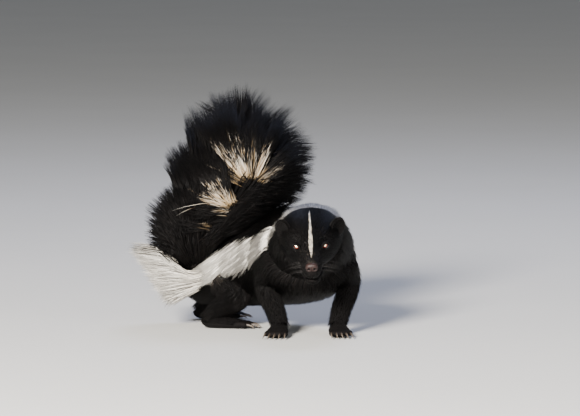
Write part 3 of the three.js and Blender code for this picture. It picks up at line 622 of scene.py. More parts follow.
class Coat:
    """Tufts gathered from several regions, put into pieces of limited size."""

    def __init__(self, name, slot, shares):
        self.name, self.slot, self.shares = name, slot, np.asarray(shares, float)
        self.points, self.marks, self.ends, self.maps = [], [], [], []

    def grow(self, controls, side, width, white, sheet, place, draw=None, pale_end=UNENDING, root_shade=1.0):
        """Tufts along Bezier curves: at each share of its length a triangle of points stands across
        the curve, wide at a third of the way and narrowing to the tip. place is the root's place on
        the unwrap, from 0 to 1, pale_end the share of a hair where its white ends, and root_shade how
        much of the root's darker colour shows, which is partly painted shade deep in the coat."""
        count = len(controls[0])
        draw = rng.random(count) if draw is None else draw
        width, white, draw = (np.broadcast_to(v, count) for v in (width, white, draw))
        u = np.append(self.shares, 1.0)[:, None, None]
        centre = bezier(controls, u)
        along = unit(bezier([b - a for a, b in zip(controls, controls[1:])], u))
        side = unit(side - along * (along * side).sum(axis=-1, keepdims=True))
        bulge = 0.62 + 0.38 * np.sin(np.pi * np.minimum(1, 0.25 + u))
        half = (width[None, :, None] / 2) * bulge * (1 - 0.35 * u)
        edge, crown = side * half, np.cross(side, along) * half * THICKNESS
        j = len(self.shares)
        ring = [(centre + edge - crown * 0.4)[:j], (centre + crown)[:j], (centre - edge - crown * 0.4)[:j]]
        body = np.stack(ring, axis=1).reshape(j * 3, count, 3)
        share = np.append(np.repeat(self.shares, 3), 1.0)
        shaded = 1 - root_shade * (1 - share)
        marks = np.stack(np.broadcast_arrays(white[:, None], shaded[None], draw[:, None]), axis=-1)
        left, bottom, across, tall = SHEETS[sheet]
        right, up = (np.clip(p, 0, 1) for p in place)
        spot = np.stack([left + across * right, bottom + tall * up], axis=1)
        step = np.stack([np.append(np.tile([1.0, 0.5, 0.0], j), 0.5), share], axis=1) - 0.5
        self.points.append(np.concatenate([body, centre[j:]]).transpose(1, 0, 2))
        self.marks.append(marks)
        self.ends.append(np.broadcast_to(np.reshape(pale_end, (-1, 1)), marks.shape[:2]))
        self.maps.append(spot[:, None, :] + step[None] * PATCH)
        coat_roots.append(controls[0])
        coat_marks.append(white)

    def make(self):
        """The pieces, each of whole tufts and below the limit of triangles. A tuft has a face at its
        root, two triangles on each of its three sides from ring to ring, and three at its tip."""
        kept = self.points, self.marks, self.ends, self.maps
        points, marks, ends, maps = (np.concatenate(lots) for lots in kept)
        last = len(self.shares) * 3 - 3
        faces = [(0, 1, 2)]
        for a in range(last):
            b = a + 1 if a % 3 < 2 else a - 2
            faces += [(b, a, a + 3), (b, a + 3, b + 3)]
        faces += [(last + (k + 1) % 3, last + k, last + 3) for k in range(3)]
        faces = np.array(faces)
        pieces = int(math.ceil(len(points) / (MOST_TRIANGLES // len(faces))))
        for i, rows in enumerate(np.array_split(np.arange(len(points)), pieces)):
            index = (faces[None] + (np.arange(len(rows)) * points.shape[1])[:, None, None]).reshape(-1, 3)
            name = self.name if pieces == 1 else f"{self.name}_{i + 1}"
            mesh = mesh_of(name, points[rows].reshape(-1, 3), index)
            colour_points(mesh, "coat", *marks[rows].reshape(-1, 3).T)
            number_points(mesh, "pale_end", ends[rows].ravel())
            layer = mesh.uv_layers.new(name="OFBake")
            layer.data.foreach_set("uv", maps[rows].reshape(-1, 2)[index.ravel()].astype(np.float32).ravel())
            shown(name, mesh, HAIR, self.slot)


coat_black = Coat("coat_black", "black_fur", SHORT)
coat_white = Coat("coat_white", "white_fur", SHORT)
coat_fan = Coat("coat_fan", "white_fur", LONG)
coat_tail = Coat("coat_tail", "black_fur", LONG)
coat_pale = Coat("coat_tail_pale", "black_fur", LONG)
coat_face = Coat("coat_face", "black_fur", SHORT)
coat_legs = Coat("coat_legs", "black_fur", SHORT)


def grow_lots(lots, controls, side, widths, base, whites, place, draw, root_shade):
    """Tufts in lots, each of chosen hairs, a coat and a sheet. widths and whites give so many draws of
    the width and of the whiteness, which is multiplied by base."""
    for chosen, coat, sheet in lots:
        count = chosen.sum()
        coat.grow([c[chosen] for c in controls], side[chosen], widths(count), base[chosen] * whites(count),
                  sheet, [p[chosen] for p in place], draw[chosen], root_shade=root_shade)


# The trunk and the neck

STRIPE_SHARES = [0, 0.10, 0.21, 0.30, 0.47, 0.57, 0.665, 0.74, 0.815, 0.88, 0.93, 1.0]
STRIPE_TOP = [30, 34, 44, 54, 56, 46, 35, 29, 27, 32, 48, 62]  # degrees from the back's middle
STRIPE_FOOT = [62, 76, 86, 89, 91, 89, 86, 87, 90, 96, 108, 118]
CLUMP_STEP, CLUMPS_A_RADIAN = 8.0, 7.0


def stripe_whiteness(t, angle):
    """How likely a hair of the trunk is to be white: between two edges on each side of the back. The
    left stripe is narrower at the shoulder."""
    side = np.degrees(np.abs(angle))
    over = side - smooth(t, STRIPE_SHARES, STRIPE_TOP)
    under = smooth(t, STRIPE_SHARES, STRIPE_FOOT) - side - 22 * (1 - ramp(t, 0.05, 0.2)) * (angle < 0)
    return ramp(over, -3.5, 3.5) * ramp(under, -3.5, 4.5)


def nape_whiteness(t, angle):
    """The white of the nape: broad behind the head, then a stripe on each side towards the shoulders.
    The neck is stretched on its left, so the stripe starts further back there."""
    side = np.degrees(np.abs(angle))
    foot = np.where(angle > 0, smooth(t, [0, 0.3, 0.55, 0.75, 1], [47, 52, 70, 82, 88]),
                    smooth(t, [0, 0.5, 0.85, 1], [47, 49, 55, 74]))
    parting = smooth(t, [0, 0.6, 1], [-12, -6, 40])
    return (1 - ramp(side, foot - 4, foot + 6)) * ramp(side, parting - 6, parting + 6)


def even_shares(surface, samples, low, high):
    """Shares of a surface's line such that equal steps cover equal areas: from the running total of
    the girth times the speed along the line."""
    t = np.linspace(low, high, 200)
    ring = surface.at(t[:, None], np.linspace(0, TURN, 25)[None], 0)
    girth = np.linalg.norm(np.diff(ring, axis=1), axis=2).sum(axis=1)
    speed = np.linalg.norm(np.gradient(spline(surface.line, t), axis=0), axis=1)
    total = np.cumsum(girth * speed)
    return np.interp(samples, (total - total[0]) / (total[-1] - total[0]), t)


def within_neck(points):
    """Whether points lie well inside the neck: by the ovals of its stations at the same y."""
    x, y, top, bottom, half = NECK_STATIONS[np.argsort(NECK_STATIONS[:, 1])].T
    middle, top, bottom, half = (np.interp(points[:, 1], y, v) for v in (x, top, bottom, half))
    across = (points[:, 0] - middle) / half
    upright = (points[:, 2] - (top + bottom) / 2) / ((top - bottom) / 2)
    return (across ** 2 + upright ** 2 < 0.62) & (points[:, 1] < 0)


def draws_of(cells):
    """Three draws from 0 to 1 for each cell, always the same: the last digits of a large sine."""
    rates = np.array([[12.9898, 78.233, 37.719], [39.346, 11.135, 83.155]])
    return (np.sin(cells @ rates) * 43758.5453) % 1.0


def lie_along(surface, sheets, count, low, high, depth, length, width, whiteness, seed):
    """Tufts that rise out of the skin and lie back along a surface, drifting down its flanks. Hairs
    near each other lean to a shared tip, which makes locks. length gives millimetres at a share, and
    whiteness the chance of white at a share and an angle."""
    share = spread(count, seed)
    t = even_shares(surface, share[:, 0], low, high)
    angle = share[:, 1] * TURN - np.pi
    draw = rng.random(count)
    reach = length(t) * rng.uniform(0.75, 1.15, count) / surface.length
    cells = np.stack([np.round(t * surface.length / CLUMP_STEP), np.round(angle * CLUMPS_A_RADIAN)], axis=1)
    drawn = draws_of(cells)
    middles = (cells + (drawn[:, :2] - 0.5) * 0.7) * [CLUMP_STEP / surface.length, 1 / CLUMPS_A_RADIAN]
    lean = middles - np.stack([t, angle], axis=1)
    hold = 0.15 + 0.5 * drawn[:, 2]
    sag = COAT_SAG * np.sin(angle)
    lift = rng.uniform(-2.5, 1.0, count) + (drawn[:, 0] - 0.5)

    def step(u, out):
        """The surface's point a share of the hair's length further back, leaning more towards the tip."""
        gather = hold * u ** 1.5
        along = t + reach * u * (0.94 + 0.12 * drawn[:, 1]) + lean[:, 0] * gather
        round_ = angle + sag * u + (lean[:, 1] + 0.11 * (drawn[:, 2] - 0.5)) * gather
        return surface.at(along, round_, out)

    controls = [step(0, -depth - 1), step(0.3, -depth * 0.35 + lift), step(0.68, lift), step(1, lift + 0.5)]
    side = unit(np.cross(controls[3] - controls[0], step(0.5, 1) - step(0.5, 0))) + scatter(count, 0.25)
    chance = whiteness(t + reach * 0.45, angle + sag * 0.45 + 0.14 * (drawn[:, 1] - 0.5))
    white = rng.random(count) < chance
    seen = ~(within_neck(controls[0]) & (surface is trunk))
    lots = [(~white & seen, coat_black, sheets[0]), (white & seen, coat_white, sheets[1])]
    grow_lots(lots, controls, side, lambda n: width * rng.uniform(0.75, 1.25, n), white,
              lambda n: rng.uniform(0.74, 1.0, n), share.T, draw * (1 - 0.3 * white), 0.3)


lie_along(trunk, ("trunk_black", "trunk_white"), 36000, 0.015, 0.97, TRUNK_DEPTH,
          lambda t: smooth(t, [0, 0.2, 0.6, 0.8, 0.9, 1], [30, 42, 50, 55, 38, 20]),
          1.55, stripe_whiteness, 1)
lie_along(neck, ("neck", "neck"), 11500, 0.0, 0.9, NECK_DEPTH,
          lambda t: smooth(t, [0, 0.5, 1], [22, 30, 36]), 1.4, nape_whiteness, 2)


def nape_crest(count, seed):
    """White hair standing up from the nape above the back of the head, less at the band's ends.
    Its whiteness is drawn at random from 0.3 to 1, which greys the crest as painted shade.
    """
    share = spread(count, seed)
    t = 0.02 + 0.5 * share[:, 0]
    angle = (share[:, 1] - 0.5) * 2 * np.radians(50)
    length = rng.uniform(12, 19, count) / neck.length * (1 - 0.4 * ramp(np.abs(angle), 0.5, 0.87))
    corner = ramp(np.abs(angle), 0.25, 0.7) * 4.6 * (1 - 0.5 * ramp(np.abs(angle), 0.7, 0.87))
    out = rng.uniform(-3.0, 2.0, count) + corner * rng.uniform(0.2, 1.05, count)
    controls = [neck.at(t, angle, -NECK_DEPTH - 1),
                neck.at(t + length * 0.2, angle, -NECK_DEPTH * 0.3 + corner * 0.4),
                neck.at(t + length * 0.8, angle * 1.03, out)]
    side = np.cross(controls[2] - controls[0], UP) + scatter(count, 3)
    # whiteness drawn from 0.3 to 1: painted shade greys the crest
    coat_white.grow(controls, side, rng.uniform(0.8, 1.5, count), rng.uniform(0.3, 1.0, count), "neck",
                    (t, (angle + np.pi) / TURN), root_shade=0.4)


nape_crest(3600, 12)


# The fan of long hair on each side of the rump

# the fan's tips from its top to its foot: how far down it, x, and z
FAN_TIPS = np.array([(0, -150, 103), (0.2, -141, 92), (0.4, -131, 80), (0.55, -125, 68), (0.7, -119, 57),
                     (0.85, -114, 45), (1, -102, 26)], float)
FAN_OUT = (26.0, 33.0)  # the tips' distance from the seat's middle plane, at the top and at the foot
FAN_CLUMPS = 17
SEAT_Y = 102.0


def fan_tip(down):
    """The x and z of the fan's edge at a share of the way down, straight from tip to tip."""
    return [np.interp(down, FAN_TIPS[:, 0], FAN_TIPS[:, k]) for k in (1, 2)]


def rump_fan(side, count, seed):
    """Long hair from the seat beside the tail down to the thigh: each goes from the skin to a tip on
    the fan's edge, bowed up and out on its way, and leans to the clump's own tip. Its roots spread
    forward along the stripe, and its upper hairs dip first, which leaves a notch over the seat."""
    share = spread(count, seed)
    down = share[:, 0]
    start = 0.99 - 0.26 * share[:, 1] ** 1.5 * np.interp(down, [0, 0.6], [0.35, 1])
    early = np.maximum(0, 0.9 - start)
    angle = side * np.radians(50 + 62 * down - 95 * early + rng.normal(0, 5, count))
    root = trunk.at(start, angle, -TRUNK_DEPTH - 1)
    clump = np.round(down * FAN_CLUMPS + rng.normal(0, 0.4, count)) / FAN_CLUMPS
    (x, z), (near_x, near_z) = fan_tip(down), fan_tip(clump)
    out = np.interp(down, [0, 1], FAN_OUT)
    tip = np.stack([x * 0.5 + near_x * 0.5, SEAT_Y - side * out, z * 0.5 + near_z * 0.5], axis=1)
    tip += scatter(count, 3.0) * [1, 2, 1]
    tip[:, 0] += 4 * np.sin(clump * 57)
    first = trunk.at(np.maximum(start + 0.05, 0.955 - 0.04 * down), angle + side * 0.25 * early,
                     rng.uniform(-8, -1.5, count))
    tip = first + (tip - first) * (rng.uniform(0.35, 1.0, count) ** 0.42)[:, None]
    wave = 4.5 * np.sin(clump * 83 + start * 9)
    bow = np.stack([down * 0 - 1, side * (2.5 * np.sin(clump * 47) - rng.uniform(0, 5, count)),
                    7 - 8 * down + wave * down + rng.normal(0, 2, count)], axis=1)
    upper = np.clip(1 - 1.7 * down, 0, 1)[:, None]
    second = first + (tip - first) * 0.48 + bow
    second = second * (1 - upper) + (tip + [46, 0, 18]) * upper
    first = first * (1 - 0.85 * upper) + np.array([-87, SEAT_Y - side * 26, 47]) * 0.85 * upper
    across = np.cross(tip - root, [-0.25, -side, 0]) + scatter(count, 26)
    white = rng.random(count) < ramp(down, -0.05, 0.13) * 0.965
    draw = rng.random(count)
    # whole clumps are made less white, in waves across the fan: painted shade streaks between the locks
    painted_shade_streak = np.interp(np.sin(clump * 131 + start * 40), [-1, -0.1], [0.3, 1])
    lots = [(~white, coat_tail, "trunk_black"), (white, coat_fan, "trunk_white")]
    grow_lots(lots, [root, first, second, tip], across, lambda n: 1.35 * rng.uniform(0.55, 1.2, n),
              white * painted_shade_streak, lambda n: rng.uniform(0.35, 1.0, n) ** 0.6,
              (start, (angle + np.pi) / TURN), draw, 0.45)


rump_fan(-1, 2700, 3)
rump_fan(1, 5000, 4)


def rump_middle(count, seed):
    """The dark hair between the fans: out from the seat to nearly as far as the fans' edges, shorter
    towards its foot."""
    share = spread(count, seed)
    down, across = 0.12 + 0.88 * share[:, 0], (share[:, 1] - 0.5) * 2
    x, z = fan_tip(down)
    root = np.stack([np.full(count, -70.0), SEAT_Y + across * 18, 70 - 30 * down], axis=1)
    tip = np.stack([x, SEAT_Y + across * 25, z], axis=1) + scatter(count, 2.5)
    reach = rng.uniform(0.6, 1.0, count) * np.interp(down, [0, 0.6, 1], [0.84, 0.74, 0.5])
    tip = root + (tip - root) * reach[:, None]
    controls = [root, root * 0.65 + tip * 0.35 + [0, 0, 3], root * 0.3 + tip * 0.7 + [0, 0, 3], tip]
    coat_tail.grow(controls, [0.0, 1, 0] + scatter(count, 0.4), 1.5, 0.0, "trunk_black",
                   (np.full(count, 0.99), share[:, 1]))


rump_middle(1700, 5)


# The tail

TUFT_WIDTH = 1.55
bone_shares = np.linspace(0.04, 0.97, 60)
bone_points, bone_ways = spline(TAIL_BONE, bone_shares), heading(TAIL_BONE, bone_shares)


def square_to(vector, way):
    """Directions with their part along a way taken out."""
    return unit(vector - way * (vector * way).sum(-1, keepdims=True))


def over_lobes(points):
    """How surely a black hair that passes these points is left out, so that the pale bases show: for
    each lobe, by its whiteness, where the points lie between its angles and distances."""
    sure = np.zeros(len(points))
    for (x, z), lobes in PARTINGS:
        side, up = points[:, 0] - x, points[:, 2] - z
        angle, away = np.degrees(np.arctan2(side, up)), np.hypot(side, up)
        for low, high, near, far, white, _ in lobes:
            inside = (angle > low - 1) & (angle < high + 1) & (away > near - 6) & (away < far - 5)
            sure = np.maximum(sure, inside * np.interp(white, [0.4, 0.9], [0.5, 0.92]))
    return sure


def plume_hair(count, seed, inner, outer, swept=True):
    """Hair of the tail: tips spread evenly over the plume, each between the shares inner and outer of
    the way out, and leaning to its clump's own. A hair leaves the bone where it makes the flare's
    angle with it and arches outwards. One with its tip in front first comes forward out of the tail
    and then sweeps along the plume's front, unless swept is off: then only the front's filling is
    kept."""
    clumps = 1500
    direction, middles = globe(count, seed), globe(clumps, 0.7)
    middles = unit(middles + rng.normal(0, 0.03, middles.shape)).astype(np.float32)
    nearest = np.concatenate([np.argmax(lot @ middles.T, axis=1)
                              for lot in np.array_split(direction.astype(np.float32), 16)])
    hold = rng.uniform(0.15, 0.6, clumps)[nearest][:, None]
    reach = rng.uniform(0.93, 1.04, clumps)[nearest] * rng.uniform(inner, outer, count)
    direction = unit(direction * (1 - hold) + middles[nearest] * hold)
    tip = PLUME_MIDDLE + (plume_point(direction) - PLUME_MIDDLE) * reach[:, None]
    away = tip[:, None, :] - bone_points[None]
    angle = np.arccos(np.clip((away * bone_ways).sum(-1) / np.linalg.norm(away, axis=-1), -1, 1))
    pick = np.argmin(np.abs(angle - TAIL_FLARE), axis=1)
    t, way = bone_shares[pick], bone_ways[pick]
    bone = bone_points[pick] + way * rng.uniform(-4, 4, count)[:, None]
    radial, radius = square_to(tip - bone, way), (tail_radius(t) * 0.82)[:, None]
    root = bone + radial * radius
    step = tip - root
    length = np.linalg.norm(step, axis=1)[:, None]
    bend = way * length * TAIL_ARCH
    plain = [root, root + step * 0.3 + bend * 0.9, root + step * 0.7 + bend * 0.8, tip]

    depth = rng.uniform(0, 9, count) + rng.uniform(0, 22, count) * (rng.random(count) < 0.2)
    front_root = bone + unit(radial * 0.5 + [0, -1, 0]) * radius
    front_tip = tip.copy()
    front_tip[:, 1] = plume_front(tip[:, 0], tip[:, 2]) + depth
    across = (front_tip - front_root) * [1, 0, 1]
    first, second = front_root + across * 0.16, front_root + across * 0.62
    first[:, 1] = front_root[:, 1] * 0.35 + plume_front(first[:, 0], first[:, 2]) * 0.65
    second[:, 1] = plume_front(second[:, 0], second[:, 2]) + depth - 1
    ahead = ramp(-direction[:, 1], 0.05, 0.42)[:, None] * swept
    controls = [a * (1 - ahead) + b * ahead for a, b in zip(plain, (front_root, first, second, front_tip))]

    low = (tip[:, 2] < 60) | (length[:, 0] < 14)
    short = (ahead[:, 0] > 0.7) & (np.linalg.norm(across, axis=1) < 34)
    sure = np.max([over_lobes(bezier(controls, u)) for u in (0.25, 0.4, 0.5, 0.6, 0.7, 0.8, 0.92)], axis=0)
    keep = ~(low | short | (rng.random(count) < sure * (ahead[:, 0] > 0.1)))
    keep &= swept | (np.abs(direction[:, 1] + 0.38) < 0.34)
    sideways = np.cross(way, radial) * (1 - ahead) + np.cross(across, [0.0, 1, 0]) / 60 * ahead
    sideways = sideways + scatter(count, 0.4)
    level_way = unit(np.cross(UP, way))
    around = np.arctan2((radial * level_way).sum(-1), (radial * np.cross(way, level_way)).sum(-1))
    coat_tail.grow([c[keep] for c in controls], sideways[keep],
                   TUFT_WIDTH * rng.uniform(0.7, 1.25, keep.sum()), 0.0, "tail_black",
                   (t[keep], (around[keep] + np.pi) / TURN))


def rim_distance(x, z, side, up):
    """How far the plume's rim is from a place in a direction: the last of some steps still inside."""
    steps = np.arange(10.0, 230.0, 3.0)
    px, pz = x + side[:, None] * steps, z + up[:, None] * steps
    inside = np.hypot(px - PLUME_MIDDLE[0], pz - PLUME_MIDDLE[2]) < plume_reach(px, pz)
    return (inside * steps).max(axis=1)


def pale_lobe(x, z, low, high, near, far, white, count):
    """Hair with a pale base and a black tip: it comes out of the parting's middle and sweeps along the
    plume's front, swaying to one side and back. Clumps of it turn black at their own distances, less
    far at the lobe's edges."""
    share = spread(count, near)
    angle = low + (high - low) * share[:, 0]
    clump = np.round(angle / 3.5 + rng.normal(0, 0.2, count)) * 3.5
    angle = np.radians(angle * 0.55 + clump * 0.45 + rng.normal(0, 0.8, count))
    bulge = 1 - 0.16 * (2 * (np.degrees(angle) - low) / (high - low) - 1) ** 2
    turns = far * bulge * (1 + 0.15 * np.sin(clump * 5.1 + near)) * (1.06 - 0.45 * rng.random(count) ** 2)
    side, up = np.sin(angle), np.cos(angle)
    rim = rim_distance(x, z, side, up) * rng.uniform(0.85, 1.0, count)
    length = np.maximum(np.minimum(rim, turns + rng.uniform(22, 60, count)), turns * 1.1)
    sway = rng.normal(-2.0, 2.2, count)

    def at(away, sideways, depth):
        """A point so far from the parting's middle, aside, and behind the plume's front."""
        px, pz = x + side * away + up * sideways, z + up * away - side * sideways
        return np.stack([px, plume_front(px, pz) + depth, pz], axis=1)

    begin = at(length * 0.02, rng.normal(0, 4, count), 0)
    begin[:, 1] = rng.uniform(72, 84, count)
    depth = rng.uniform(-2.5, 2.5, count)
    controls = [begin, at(length * 0.2, sway * 0.6, 7), at(length * 0.6, sway, depth),
                at(length, -sway, 3 + depth)]
    u = np.linspace(0, 1, 40)[:, None, None]
    path = bezier(controls, u)
    away = np.hypot(path[..., 0] - x, path[..., 2] - z)
    end = u[np.argmin(np.abs(away - turns), axis=0), 0, 0]
    sideways = np.stack([up, 0 * up, -side], axis=1) + scatter(count, 0.3)
    place = ((np.degrees(angle) + 110) / 182, np.clip((z - 120) / 70 + 0.1 * share[:, 1], 0, 1))
    width = 1.25 * rng.uniform(0.7, 1.2, count)
    white = white * rng.uniform(0.75, 1.0, count) * (rng.random(count) < 0.55 + 0.35 * white)
    coat_pale.grow(controls, sideways, width, white, "tail_pale", place, pale_end=end)


def stray_hairs():
    """Two long white hairs in front of the plume's lower left, each straight, bent and straight."""
    starts = np.array([(-38, 0, 160), (-64, 0, 154)], float)
    bends = np.array([(-62, 0, 162), (-76, 0, 152)], float)
    ends = np.array([(-95, 0, 149), (-89, 0, 142)], float)
    for lot in (starts, bends, ends):
        lot[:, 1] = plume_front(lot[:, 0], lot[:, 2]) - 3
    controls = [starts + [0, 6, 0], starts * 0.4 + bends * 0.6, bends * 0.6 + ends * 0.4, ends]
    coat_pale.grow(controls, UP, [0.6, 0.5], np.array([0.6, 0.45]), "tail_pale",
                   np.array([(0.98, 0.99), (0.98, 0.98)]), 0.5)


def tail_root_hair(count, seed):
    """Hair round the tail's root: it lies up along the bone in front, and stands out to the left. Its
    way is the bone's times the cosine of the flare plus the outward one's times the sine."""
    share = spread(count, seed)
    t, turn = 0.34 * share[:, 0], share[:, 1] * TURN
    bone, way = spline(TAIL_BONE, t), heading(TAIL_BONE, t)
    radial = square_to(np.stack([np.cos(turn), np.sin(turn), 0 * turn], axis=1), way)
    ahead, left = np.clip(-radial[:, 1], 0, 1), np.clip(-radial[:, 0], 0, 1)
    flare = np.radians(46 - 20 * ahead + 44 * left + rng.normal(0, 6, count))[:, None]
    root = bone + radial * (tail_radius(t) * 0.8)[:, None]
    lie = way * np.cos(flare) + radial * np.sin(flare)
    length = (rng.uniform(0.7, 1.0, count) * (50 - 12 * left))[:, None]
    first = root + (lie * 0.75 + radial * 0.35) * length * 0.33
    coat_tail.grow([root, first, root + lie * length * 0.7, root + lie * length],
                   np.cross(lie, radial) + scatter(count, 0.4), TUFT_WIDTH * rng.uniform(0.7, 1.25, count),
                   0.0, "tail_black", (t, share[:, 1]))


tail_root_hair(3200, 18)
plume_hair(17500, 0.0, 0.95, 1.0)
plume_hair(3500, 0.4, 0.62, 0.95)
plume_hair(8000, 0.9, 0.72, 0.97, False)
for (x, z), lobes in PARTINGS:
    for lobe in lobes:
        pale_lobe(x, z, *lobe)
stray_hairs()


# The head's short fur

STRIPE_AHEAD = [-36, -31, -24, -14, -6, 4, 12, 20, 26]
STRIPE_HALF = [0.1, 0.7, 0.9, 1.4, 2.0, 2.4, 2.3, 1.5, 0.2]
EYE_CLEAR, NOSE_CLEAR = 5.0, 6.2  # no root is nearer to an eye's middle or the nose's
NOSE_SPOT = (0, 33, -10)


def forehead_whiteness(side, forward):
    """The forehead's stripe: white within its half width at each step ahead, fading at its foot."""
    half = smooth(forward, STRIPE_AHEAD, STRIPE_HALF)
    inside = (forward > STRIPE_AHEAD[0]) & (forward < STRIPE_AHEAD[-1])
    return (1 - ramp(np.abs(side) / half, 0.7, 1.2)) * inside * (1 - 0.6 * ramp(forward, 14, 26))


def fur_depth(forward):
    """How far the skin of the head lies inside its fur."""
    return smooth(forward, [-58, -30, -5, 15, 36], [5, 4, 2.2, 1.3, 0.8])


def near_eye(points):
    """The least distance from points to either eye's middle."""
    return np.minimum(*(np.linalg.norm(points - eye_middle(s), axis=-1) for s in (1, -1)))


def head_fur(stations, count, low, high, spread_angle, seed):
    """Fur of the skull or the jaw, round from its top or its bottom: it lies back along the surface,
    shorter and finer ahead and near the eyes, and stands at the crown's sides. The chin's turns ahead.
    Roots are left out by the form's width, which keeps them as close at the muzzle as behind."""
    skull = stations is SKULL_STATIONS
    share = spread(count, seed)
    forward = low + (high - low) * share[:, 0]
    order = np.argsort(stations[:, 0])
    half = smooth(forward, stations[order, 0], stations[order, 1])
    forward = forward[rng.random(count) < half / 40]
    count = len(forward)
    share = share[:count]
    first, last = (0 if skull else np.pi) - spread_angle, (0 if skull else np.pi) + spread_angle
    angle = first + (last - first) * share[:, 1] + rng.normal(0, 0.02, count)
    if skull:
        angle = angle * (1 + 0.25 * ramp(forward, 8, 20))
    depth = fur_depth(forward)
    stand = 2.6 * np.clip(np.sin(2 * np.abs(angle)), 0.35, 1) * (np.abs(angle) < 1.6) * ramp(-forward, 14, 36)
    length = smooth(forward, [-58, -40, -20, 0, 15, 36], [17, 13, 9, 6, 4.2, 2.8])
    length = length * rng.uniform(0.8, 1.2, count)
    fan = 0.10 * np.sin(angle)
    root = head_at(stations, forward, angle, -depth - 0.4)
    off = near_eye(root)
    length = length * (0.28 + 0.72 * ramp(off, 5.5, 14))
    chin = 1.5 * ramp(forward, 23, 28) * (not skull)

    def step(u, out):
        """The surface's point a share of the hair's length further back."""
        return head_at(stations, forward - length * u * (1 - chin), angle + fan * u, out)

    out = rng.uniform(-0.4, 0.5, count) + stand * rng.uniform(0.3, 1, count)
    controls = [root, step(0.3, -depth * 0.45), step(0.65, -depth * 0.15 + stand * 0.3), step(1, out)]
    nose_near = np.linalg.norm(root - on_head(*NOSE_SPOT), axis=-1)
    over_nape = (forward - length < -61) & (np.abs(angle) < 1.0)
    keep = (off > EYE_CLEAR) & (nose_near > NOSE_CLEAR) & ~over_nape
    middle = step(0.5, 0)
    stripe = forehead_whiteness(*((middle - EYES_MIDDLE) @ way for way in (HEAD_SIDE, HEAD_FORWARD)))
    white = (rng.random(count) < stripe * (np.abs(angle) < 1.2)) * rng.uniform(0.85, 1, count)
    sideways = np.cross(controls[3] - controls[0], step(0.5, 1) - middle) + scatter(count, 0.15)
    width = smooth(forward, [-58, -30, 0, 36], [1.3, 1.0, 0.75, 0.55]) * rng.uniform(0.75, 1.25, count)
    coat_face.grow([c[keep] for c in controls], sideways[keep], width[keep], white[keep], "head",
                   share[keep].T)


head_fur(SKULL_STATIONS, 31000, -57, 35.6, 2.45, 6)
head_fur(JAW_STATIONS, 9500, -17, 28.3, 2.45, 7)


def grow_small(side, share, controls, across, width):
    """Black tufts of an ear or a lid, each side's on its own half of the ears' part of the bake map."""
    place = (share[:, 0] * 0.48 + (0.5 if side > 0 else 0), share[:, 1])
    coat_face.grow(controls, across, width, 0.0, "ears", place)


def ear_frame(side):
    """An ear's middle and its directions across and backward, turned outward about the crown's."""
    across, back = (turned(v, HEAD_CROWN, side * EAR_TURN) for v in (HEAD_SIDE, -HEAD_FORWARD))
    return on_head(side * EAR_PLACE[0], EAR_PLACE[1], EAR_PLACE[2]), across, back


def cup_depth(r):
    """How far ahead of the ear's middle its cup's floor is, deepest in the middle."""
    return 0.75 * (r ** 3 - 1) + 0.25


def ear_shell(side):
    """The ear as a bowl: a rounded disc whose front is pushed back towards its middle."""
    centre, across, back = ear_frame(side)
    r = np.linspace(0, 1, 15)[1:]
    behind = r[-2::-1]
    r, ahead = np.append(r, behind), np.append(cup_depth(r), -np.sqrt(1 - behind * behind))
    middles = centre - back * (ahead * EAR_SIZE[1])[:, None]
    return bar(middles, across, HEAD_CROWN, r * EAR_SIZE[0], r * EAR_SIZE[2], 28)


def ear_fur(side, count, seed):
    """Short fur on the back and rim of an ear, lying up and over its edge."""
    share = spread(count, seed)
    centre, across, back = ear_frame(side)
    r, turn = np.sqrt(share[:, 0]), share[:, 1] * TURN
    depth = np.sqrt(np.maximum(0, 1 - r * r))
    radial = np.sin(turn)[:, None] * across * EAR_SIZE[0] + np.cos(turn)[:, None] * HEAD_CROWN * EAR_SIZE[2]
    root = centre + radial * r[:, None] * 0.97 + back * (depth * EAR_SIZE[1] * 0.95)[:, None]
    lie = unit(radial * 0.6 + HEAD_CROWN * 5 + back * 2)
    length = rng.uniform(2.8, 4.6, count)[:, None]
    tip = root + lie * length * np.where(np.cos(turn) < -0.2, 0.6, 1.0)[:, None]
    grow_small(side, share, [root, root + lie * length * 0.3 + back * 0.5, tip], np.cross(lie, back), 0.8)


def ear_lining(side, count, seed):
    """Finer hair inside the cup, from its edge and floor up and outwards."""
    share = spread(count, seed)
    centre, across, back = ear_frame(side)
    r, turn = np.sqrt(share[:, 0]), share[:, 1] * TURN
    root = (centre + (np.sin(turn) * r * EAR_SIZE[0])[:, None] * across
            + (np.cos(turn) * r * EAR_SIZE[2])[:, None] * HEAD_CROWN
            - back * ((cup_depth(r) - 0.06) * EAR_SIZE[1])[:, None])
    lie = unit(HEAD_CROWN * 1.2 - back * 0.5 + across * side * 0.3 + scatter(count, 0.25))
    length = rng.uniform(2.5, 5.0, count)[:, None] * np.where(r > 0.8, 0.7, 1.0)[:, None]
    controls = [root, root + lie * length * 0.5 - back * 0.4, root + lie * length]
    grow_small(side, share, controls, np.cross(lie, back), 0.6)


def lid_bead(side, turn):
    """The lids' bead round an eye: its middle, the way it faces, the steps from the middle to its own
    line, wider than high, and its thickness, fuller above."""
    centre = on_head(side * (EYE_SPACING / 2 + 0.9), 0.9, 1.5)
    look = turned(HEAD_FORWARD, HEAD_CROWN, side * math.radians(38))
    across = np.cross(HEAD_CROWN, look)
    out = np.sin(turn)[:, None] * across * 5.1 + np.cos(turn)[:, None] * HEAD_CROWN * 4.1
    return centre, look, out, 0.95 + 0.6 * np.clip(np.cos(turn), 0, 1)


